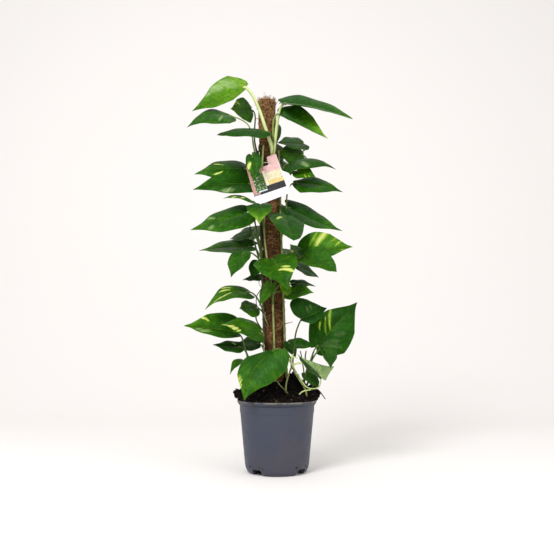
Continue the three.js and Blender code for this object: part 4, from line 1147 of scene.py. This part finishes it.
# the sleeve's radius at a height: wound bands below, a rounded end on top
def sleeveRadius(z):
    bands = 0.45 * math.sin((z - pole["sleeveFoot"]) / 38.5 * math.pi)
    body = pole["sleeve"] + bands - 0.8 * (z - pole["sleeveFoot"]) / (pole["top"] - pole["sleeveFoot"])
    return body * math.sqrt(max(0.02, 1 - max(0, (z - pole["top"] + 12) / 15.5) ** 3))


# a point of the leaning sleeve, moved off its surface
def sleevePoint(angle, z, off=0.0):
    radius = sleeveRadius(z) + off
    return np.array([poleX(z) + radius * math.sin(angle), -radius * math.cos(angle), z])


random = np.random.default_rng(23)
store = Store()
turns = evenTurns(coirLook["sides"])
levels = np.linspace(pole["sleeveFoot"], pole["top"] + 3, coirLook["rings"])
rings = [[sleevePoint(a, z, -0.5 + noise.noise(Vector((3 * math.sin(a), 3 * math.cos(a), z / 7))) * 0.7)
          for a in turns] for z in levels]
store.skin(rings, 0, closeFirst=True, closeLast=True, tone=0.25)
for _ in range(coirLook["strands"]):
    buried = pole["sleeveFoot"] + 30  # no strands below this height, deep in the soil
    z = buried + (pole["top"] - pole["sleeveFoot"] - 30) * random.random()
    angle, lean = 2 * np.pi * random.random(), random.normal() * 0.55 + random.choice([-0.5, 0.5])
    length, wobble = 14 + 26 * random.random(), random.random() * 6
    off = -0.2 + 0.8 * random.random()
    path = []
    for t in np.linspace(-0.5, 0.5, coirLook["strandSteps"]):
        turn = angle + t * length * math.cos(lean) / 20 + 0.05 * math.sin(wobble + 7 * t)
        level = min(z + t * length * math.sin(lean) + 1.2 * math.sin(2 * wobble + 6 * t), pole["top"] + 2)
        path.append(sleevePoint(turn, level, off + 0.5 * math.sin(wobble + 5 * t)))
    thick = coirLook["strandRadius"][0] + random.random() ** 2 * np.ptp(coirLook["strandRadius"])
    lift = 0.44 * smooth(640, 810, z)
    store.bar(path, thick, 3, 1, tone=lift + 0.9 * float(random.random()))
for _ in range(coirLook["frizz"]):
    high = random.random() < 0.45
    z = pole["top"] - 14 * random.random() if high else 200 + (pole["top"] - 200) * random.random()
    angle, away = 2 * np.pi * random.random(), 1.5 + (6.5 if high else 3.2) * random.random()
    a = sleevePoint(angle, z, -0.5)
    outward = unit(facing(angle, 0.9 if high else 0.1))
    b = a + outward * away + random.normal(size=3) * 1.5
    c = b + random.normal(size=3) * (2, 2, 3.5)
    d = sleevePoint(angle + random.normal() * 0.3, min(z + random.normal() * 6, pole["top"]), -0.3)
    path = throughPoints([a, b, c, d], 14)
    store.bar(path, coirLook["frizzRadius"], 4, 1, tone=0.4 + 0.6 * random.random())
coirPole = store.build("coirPole", [coirFibre("coirCore", 0.45), coirFibre("coirStrand", 0.0)])
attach(coirPole, "root")
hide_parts("coir_sleeve")
print("coir wound:", len(coirPole.data.polygons), "faces")


stakeLook = {"grain": [(0.3, (0.20, 0.11, 0.05)), (0.7, (0.42, 0.27, 0.14))]}


def stakeWood():
    finish = Finish("stakeWood", roughness=0.8, specular=0.2)
    grain = finish.noise(finish.place((60, 60, 4)), 1.0, 4)
    return finish.done(finish.ramp(grain, stakeLook["grain"]), finish.bump(grain, 0.0004))


stake = bpy.data.objects["pole_stake"]
stake.data.materials.clear()
stake.data.materials.append(stakeWood())

labelLook = {
    "tilt": 19.2, "corner": (-50, 586), "front": -28.4, "thickness": 1, "cornerCut": 3,
    "edge": [(-1, -20), (75, -17), (79, -5), (91, 10), (90, 26), (77, 37), (77, 78), (55, 77), (54, 59),
             (31, 58), (32, 71), (5, 70)],
    "plastic": (0.86, 0.85, 0.87), "brick": (0.60, 0.20, 0.18), "brickPale": (0.66, 0.36, 0.32),
    "sand": (0.56, 0.50, 0.26), "straw": (0.50, 0.34, 0.07), "ink": (0.012, 0.013, 0.016),
    "bark": (0.28, 0.16, 0.12), "hedge": (0.030, 0.120, 0.010), "bloom": (0.86, 0.88, 0.80),
    "sunlit": (0.30, 0.42, 0.14), "paleSand": (0.80, 0.74, 0.58), "paleStraw": (0.85, 0.72, 0.34),
    "post": (0.86, 0.80, 0.58), "bandSpeckle": (0.12, 0.12, 0.12), "navy": (0.012, 0.022, 0.040),
    "frost": (0.70, 0.78, 0.76), "plum": (0.30, 0.22, 0.30), "plasticShade": (0.80, 0.80, 0.82),
}


# a generic garden picture: bricks, sand, a hedge with white blooms, and a blank dark band below
def printedCard():
    finish = Finish("printedCard", roughness=0.35, specular=0.4)
    card = finish.place(uv=True)
    flat = finish.parts(card)
    speckle = finish.noise(card, 26, 4, 0.7)
    wander = finish.times(finish.minus(finish.noise(card, 9, 3), 0.5), 0.10)

    # a mask over part of the card, in shares of 100 mm, with soft or ragged sides
    def patch(left, right, low, high, ragged=0.0, soft=0.006):
        x = finish.plus(flat["X"], finish.times(wander, ragged))
        y = finish.plus(flat["Y"], finish.times(wander, ragged))
        sides = [finish.span(x, left - soft, left + soft), finish.span(x, right - soft, right + soft, 1, 0),
                 finish.span(y, low - soft, low + soft), finish.span(y, high - soft, high + soft, 1, 0)]
        mask = sides[0]
        for side in sides[1:]:
            mask = finish.times(mask, side)
        return mask

    bricks = finish.node("ShaderNodeTexBrick")
    finish.wire(card, bricks.inputs["Vector"])
    for title, number in (("Scale", 16), ("Mortar Size", 0.03), ("Brick Width", 0.6), ("Row Height", 0.32)):
        bricks.inputs[title].default_value = number
    for title, paint in (("Color1", "brick"), ("Color2", "brickPale"), ("Mortar", "plastic")):
        bricks.inputs[title].default_value = (*labelLook[paint], 1)
    bark = finish.mix(finish.span(speckle, 0.35, 0.65), labelLook["bark"], labelLook["brickPale"])
    colour = finish.mix(patch(0.0, 0.75, 0.0, 0.72), labelLook["plastic"], bark)
    greens = [(0.3, labelLook["ink"]), (0.5, labelLook["hedge"]), (0.7, labelLook["sunlit"])]
    leafy = finish.ramp(finish.noise(card, 42, 4, 0.7), greens)
    blooms = finish.node("ShaderNodeTexVoronoi")
    finish.wire(card, blooms.inputs["Vector"])
    blooms.inputs["Scale"].default_value = 24
    petals = finish.span(blooms.outputs["Distance"], 0.20, 0.34, 0.9, 0.0)
    leafy = finish.mix(petals, leafy, labelLook["bloom"])
    sand = finish.mix(finish.span(speckle, 0.4, 0.6), labelLook["sand"], labelLook["paleSand"])
    dry = finish.span(finish.noise(card, 60, 3, 0.7), 0.42, 0.58)
    straw = finish.mix(dry, labelLook["straw"], labelLook["paleStraw"])
    band = finish.mix(finish.span(speckle, 0.45, 0.7, 0.0, 0.35), labelLook["ink"], labelLook["bandSpeckle"])
    prints = [
        ((0.09, 0.34, 0.06, 0.46, 0.6), leafy), ((0.09, 0.30, 0.44, 0.60, 0.5), labelLook["hedge"]),
        ((0.40, 0.765, 0.42, 0.775, 0.25), bricks.outputs["Color"]), ((0.41, 0.745, 0.22, 0.43, 0.3), sand),
        ((0.40, 0.745, 0.15, 0.25, 0.4), straw), ((0.345, 0.405, 0.10, 0.50, 0.15), labelLook["post"]),
        ((0.34, 0.75, 0.0, 0.15, 0.05), band), ((0.16, 0.36, 0.0, 0.055, 0.08), labelLook["navy"]),
        ((0.14, 0.33, 0.055, 0.085, 0.3), labelLook["frost"]),
        ((0.0, 0.14, 0.0, 0.035, 0.2), labelLook["plum"]),
    ]
    for place, paint in prints:
        colour = finish.mix(patch(*place), colour, paint)
    return finish.done(colour)


def cardPlastic():
    finish = Finish("whiteCardPlastic", roughness=0.35, specular=0.4)
    shade = finish.span(finish.noise(finish.place(), 40, 3), 0.3, 0.7)
    return finish.done(finish.mix(shade, labelLook["plastic"], labelLook["plasticShade"]))


# the outline with its corners rounded, then both faces and the edge between them
def hangLabel():
    points = np.array(labelLook["edge"], float)
    outline = []
    for k, corner in enumerate(points):
        after = points[(k + 1) % len(points)]
        outline += softCorner(points[k - 1], corner, after, labelLook["cornerCut"], np.linspace(0, 1, 5))
    outline = np.array(outline)
    tilt = math.radians(labelLook["tilt"])
    x = labelLook["corner"][0] + outline[:, 0] * math.cos(tilt) - outline[:, 1] * math.sin(tilt)
    z = labelLook["corner"][1] + outline[:, 0] * math.sin(tilt) + outline[:, 1] * math.cos(tilt)
    count = len(outline)
    store = Store()
    front = np.stack([x, np.full(count, labelLook["front"]), z], 1)
    behind = front + (0, labelLook["thickness"], 0)
    store.add(front, [list(range(count))], 0, outline / 100)
    store.add(behind, [list(range(count))[::-1]], 1, outline / 100)
    sides = [[k, k + count, (k + 1) % count + count, (k + 1) % count] for k in range(count)]
    store.add(np.vstack([front, behind]), sides, 1)
    return store.build("hangLabel", [printedCard(), cardPlastic()], hardEdges=True)


tag = hangLabel()
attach(tag, "root")
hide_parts("label")

tieLook = {
    "level": 664, "radius": 0.6, "across": 28.6, "deep": 29.9, "steps": 120, "sides": 10,
    "colour": (0.66, 0.70, 0.58), "shade": (0.50, 0.54, 0.42),
}


# a closed loop that lies level round pole and stems
def tieLoop():
    finish = Finish("softTie", roughness=0.45)
    shade = finish.span(finish.noise(finish.place(), 90, 3), 0.3, 0.7)
    material = finish.done(finish.mix(shade, tieLook["colour"], tieLook["shade"]))
    circle = evenTurns(tieLook["sides"])
    rings = []
    for a in evenTurns(tieLook["steps"]):
        swell = tieLook["radius"] * np.cos(circle)
        rings.append(np.stack([poleX(tieLook["level"]) + (tieLook["across"] + swell) * math.cos(a),
                               (tieLook["deep"] + swell) * math.sin(a),
                               tieLook["level"] + tieLook["radius"] * np.sin(circle)], 1))
    store = Store()
    store.skin([*rings, rings[0]], 0)
    return store.build("labelTie", [material])


tie = tieLoop()
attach(tie, "root")
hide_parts("label_tie")
print("label hung")

studio = {
    "camera": (0, -1.3, 0.245), "pitchUp": 7.38, "focalPixels": 596, "framePixels": 554,
    "backdrop": (0.92, 0.895, 0.88), "skyColour": (1, 0.99, 0.98), "worldLight": 0.74,
    "keyLight": {"place": (-0.9, -1.7, 2.0), "target": (0, 0, 0.45), "size": 1.0, "power": 40},
    "fillLight": {"place": (1.5, -1.4, 1.1), "target": (0, 0, 0.4), "size": 1.8, "power": 10},
    "floorFront": -1.9, "floorBack": 0.9, "sweep": 0.9, "wallTop": 2.6, "halfWidth": 2.6,
}


# a floor that sweeps up into a wall
def makeStage():
    start, sweep, wide = studio["floorBack"], studio["sweep"], studio["halfWidth"]
    turns = np.linspace(0, math.pi / 2, 13)
    bend = [(start + sweep * math.sin(a), sweep - sweep * math.cos(a)) for a in turns]
    profile = [(studio["floorFront"], 0.0), *bend, (start + sweep, studio["wallTop"])]
    mesh = bpy.data.meshes.new("studioFloor")
    vertices = [(x, y, z) for y, z in profile for x in (-wide, wide)]
    faces = [(2 * i, 2 * i + 1, 2 * i + 3, 2 * i + 2) for i in range(len(profile) - 1)]
    mesh.from_pydata(vertices, [], faces)
    mesh.polygons.foreach_set("use_smooth", [True] * len(faces))
    finish = Finish("paleFloor", roughness=0.9, specular=0.1)
    finish.shader.inputs["Base Color"].default_value = (*studio["backdrop"], 1)
    mesh.materials.append(finish.material)
    floor = intoScene(bpy.data.objects.new("studioFloor", mesh))


def areaLight(name, place, target, size, power):
    light = bpy.data.lights.new(name, "AREA")
    light.shape = "DISK"
    light.size = size
    light.energy = power
    lamp = intoScene(bpy.data.objects.new(name, light))
    lamp.location = place
    lamp.rotation_euler = (Vector(target) - Vector(place)).to_track_quat("-Z", "Y").to_euler()


makeStage()
areaLight("keyLight", **studio["keyLight"])
areaLight("fillLight", **studio["fillLight"])
world = bpy.data.worlds.new("softSky")
world.use_nodes = True
sky = next(n for n in world.node_tree.nodes if n.type == "BACKGROUND")
sky.inputs["Color"].default_value = (*studio["skyColour"], 1)
sky.inputs["Strength"].default_value = studio["worldLight"]
bpy.context.scene.world = world
lens = bpy.data.cameras.new("frontCamera")
lens.sensor_width = 36
lens.lens = 36 * studio["focalPixels"] / studio["framePixels"]
viewer = intoScene(bpy.data.objects.new("frontCamera", lens))
viewer.location = studio["camera"]
viewer.rotation_euler = (math.radians(90 + studio["pitchUp"]), 0, 0)
bpy.context.scene.camera = viewer
bpy.context.scene.view_settings.view_transform = "Standard"
print("studio set")
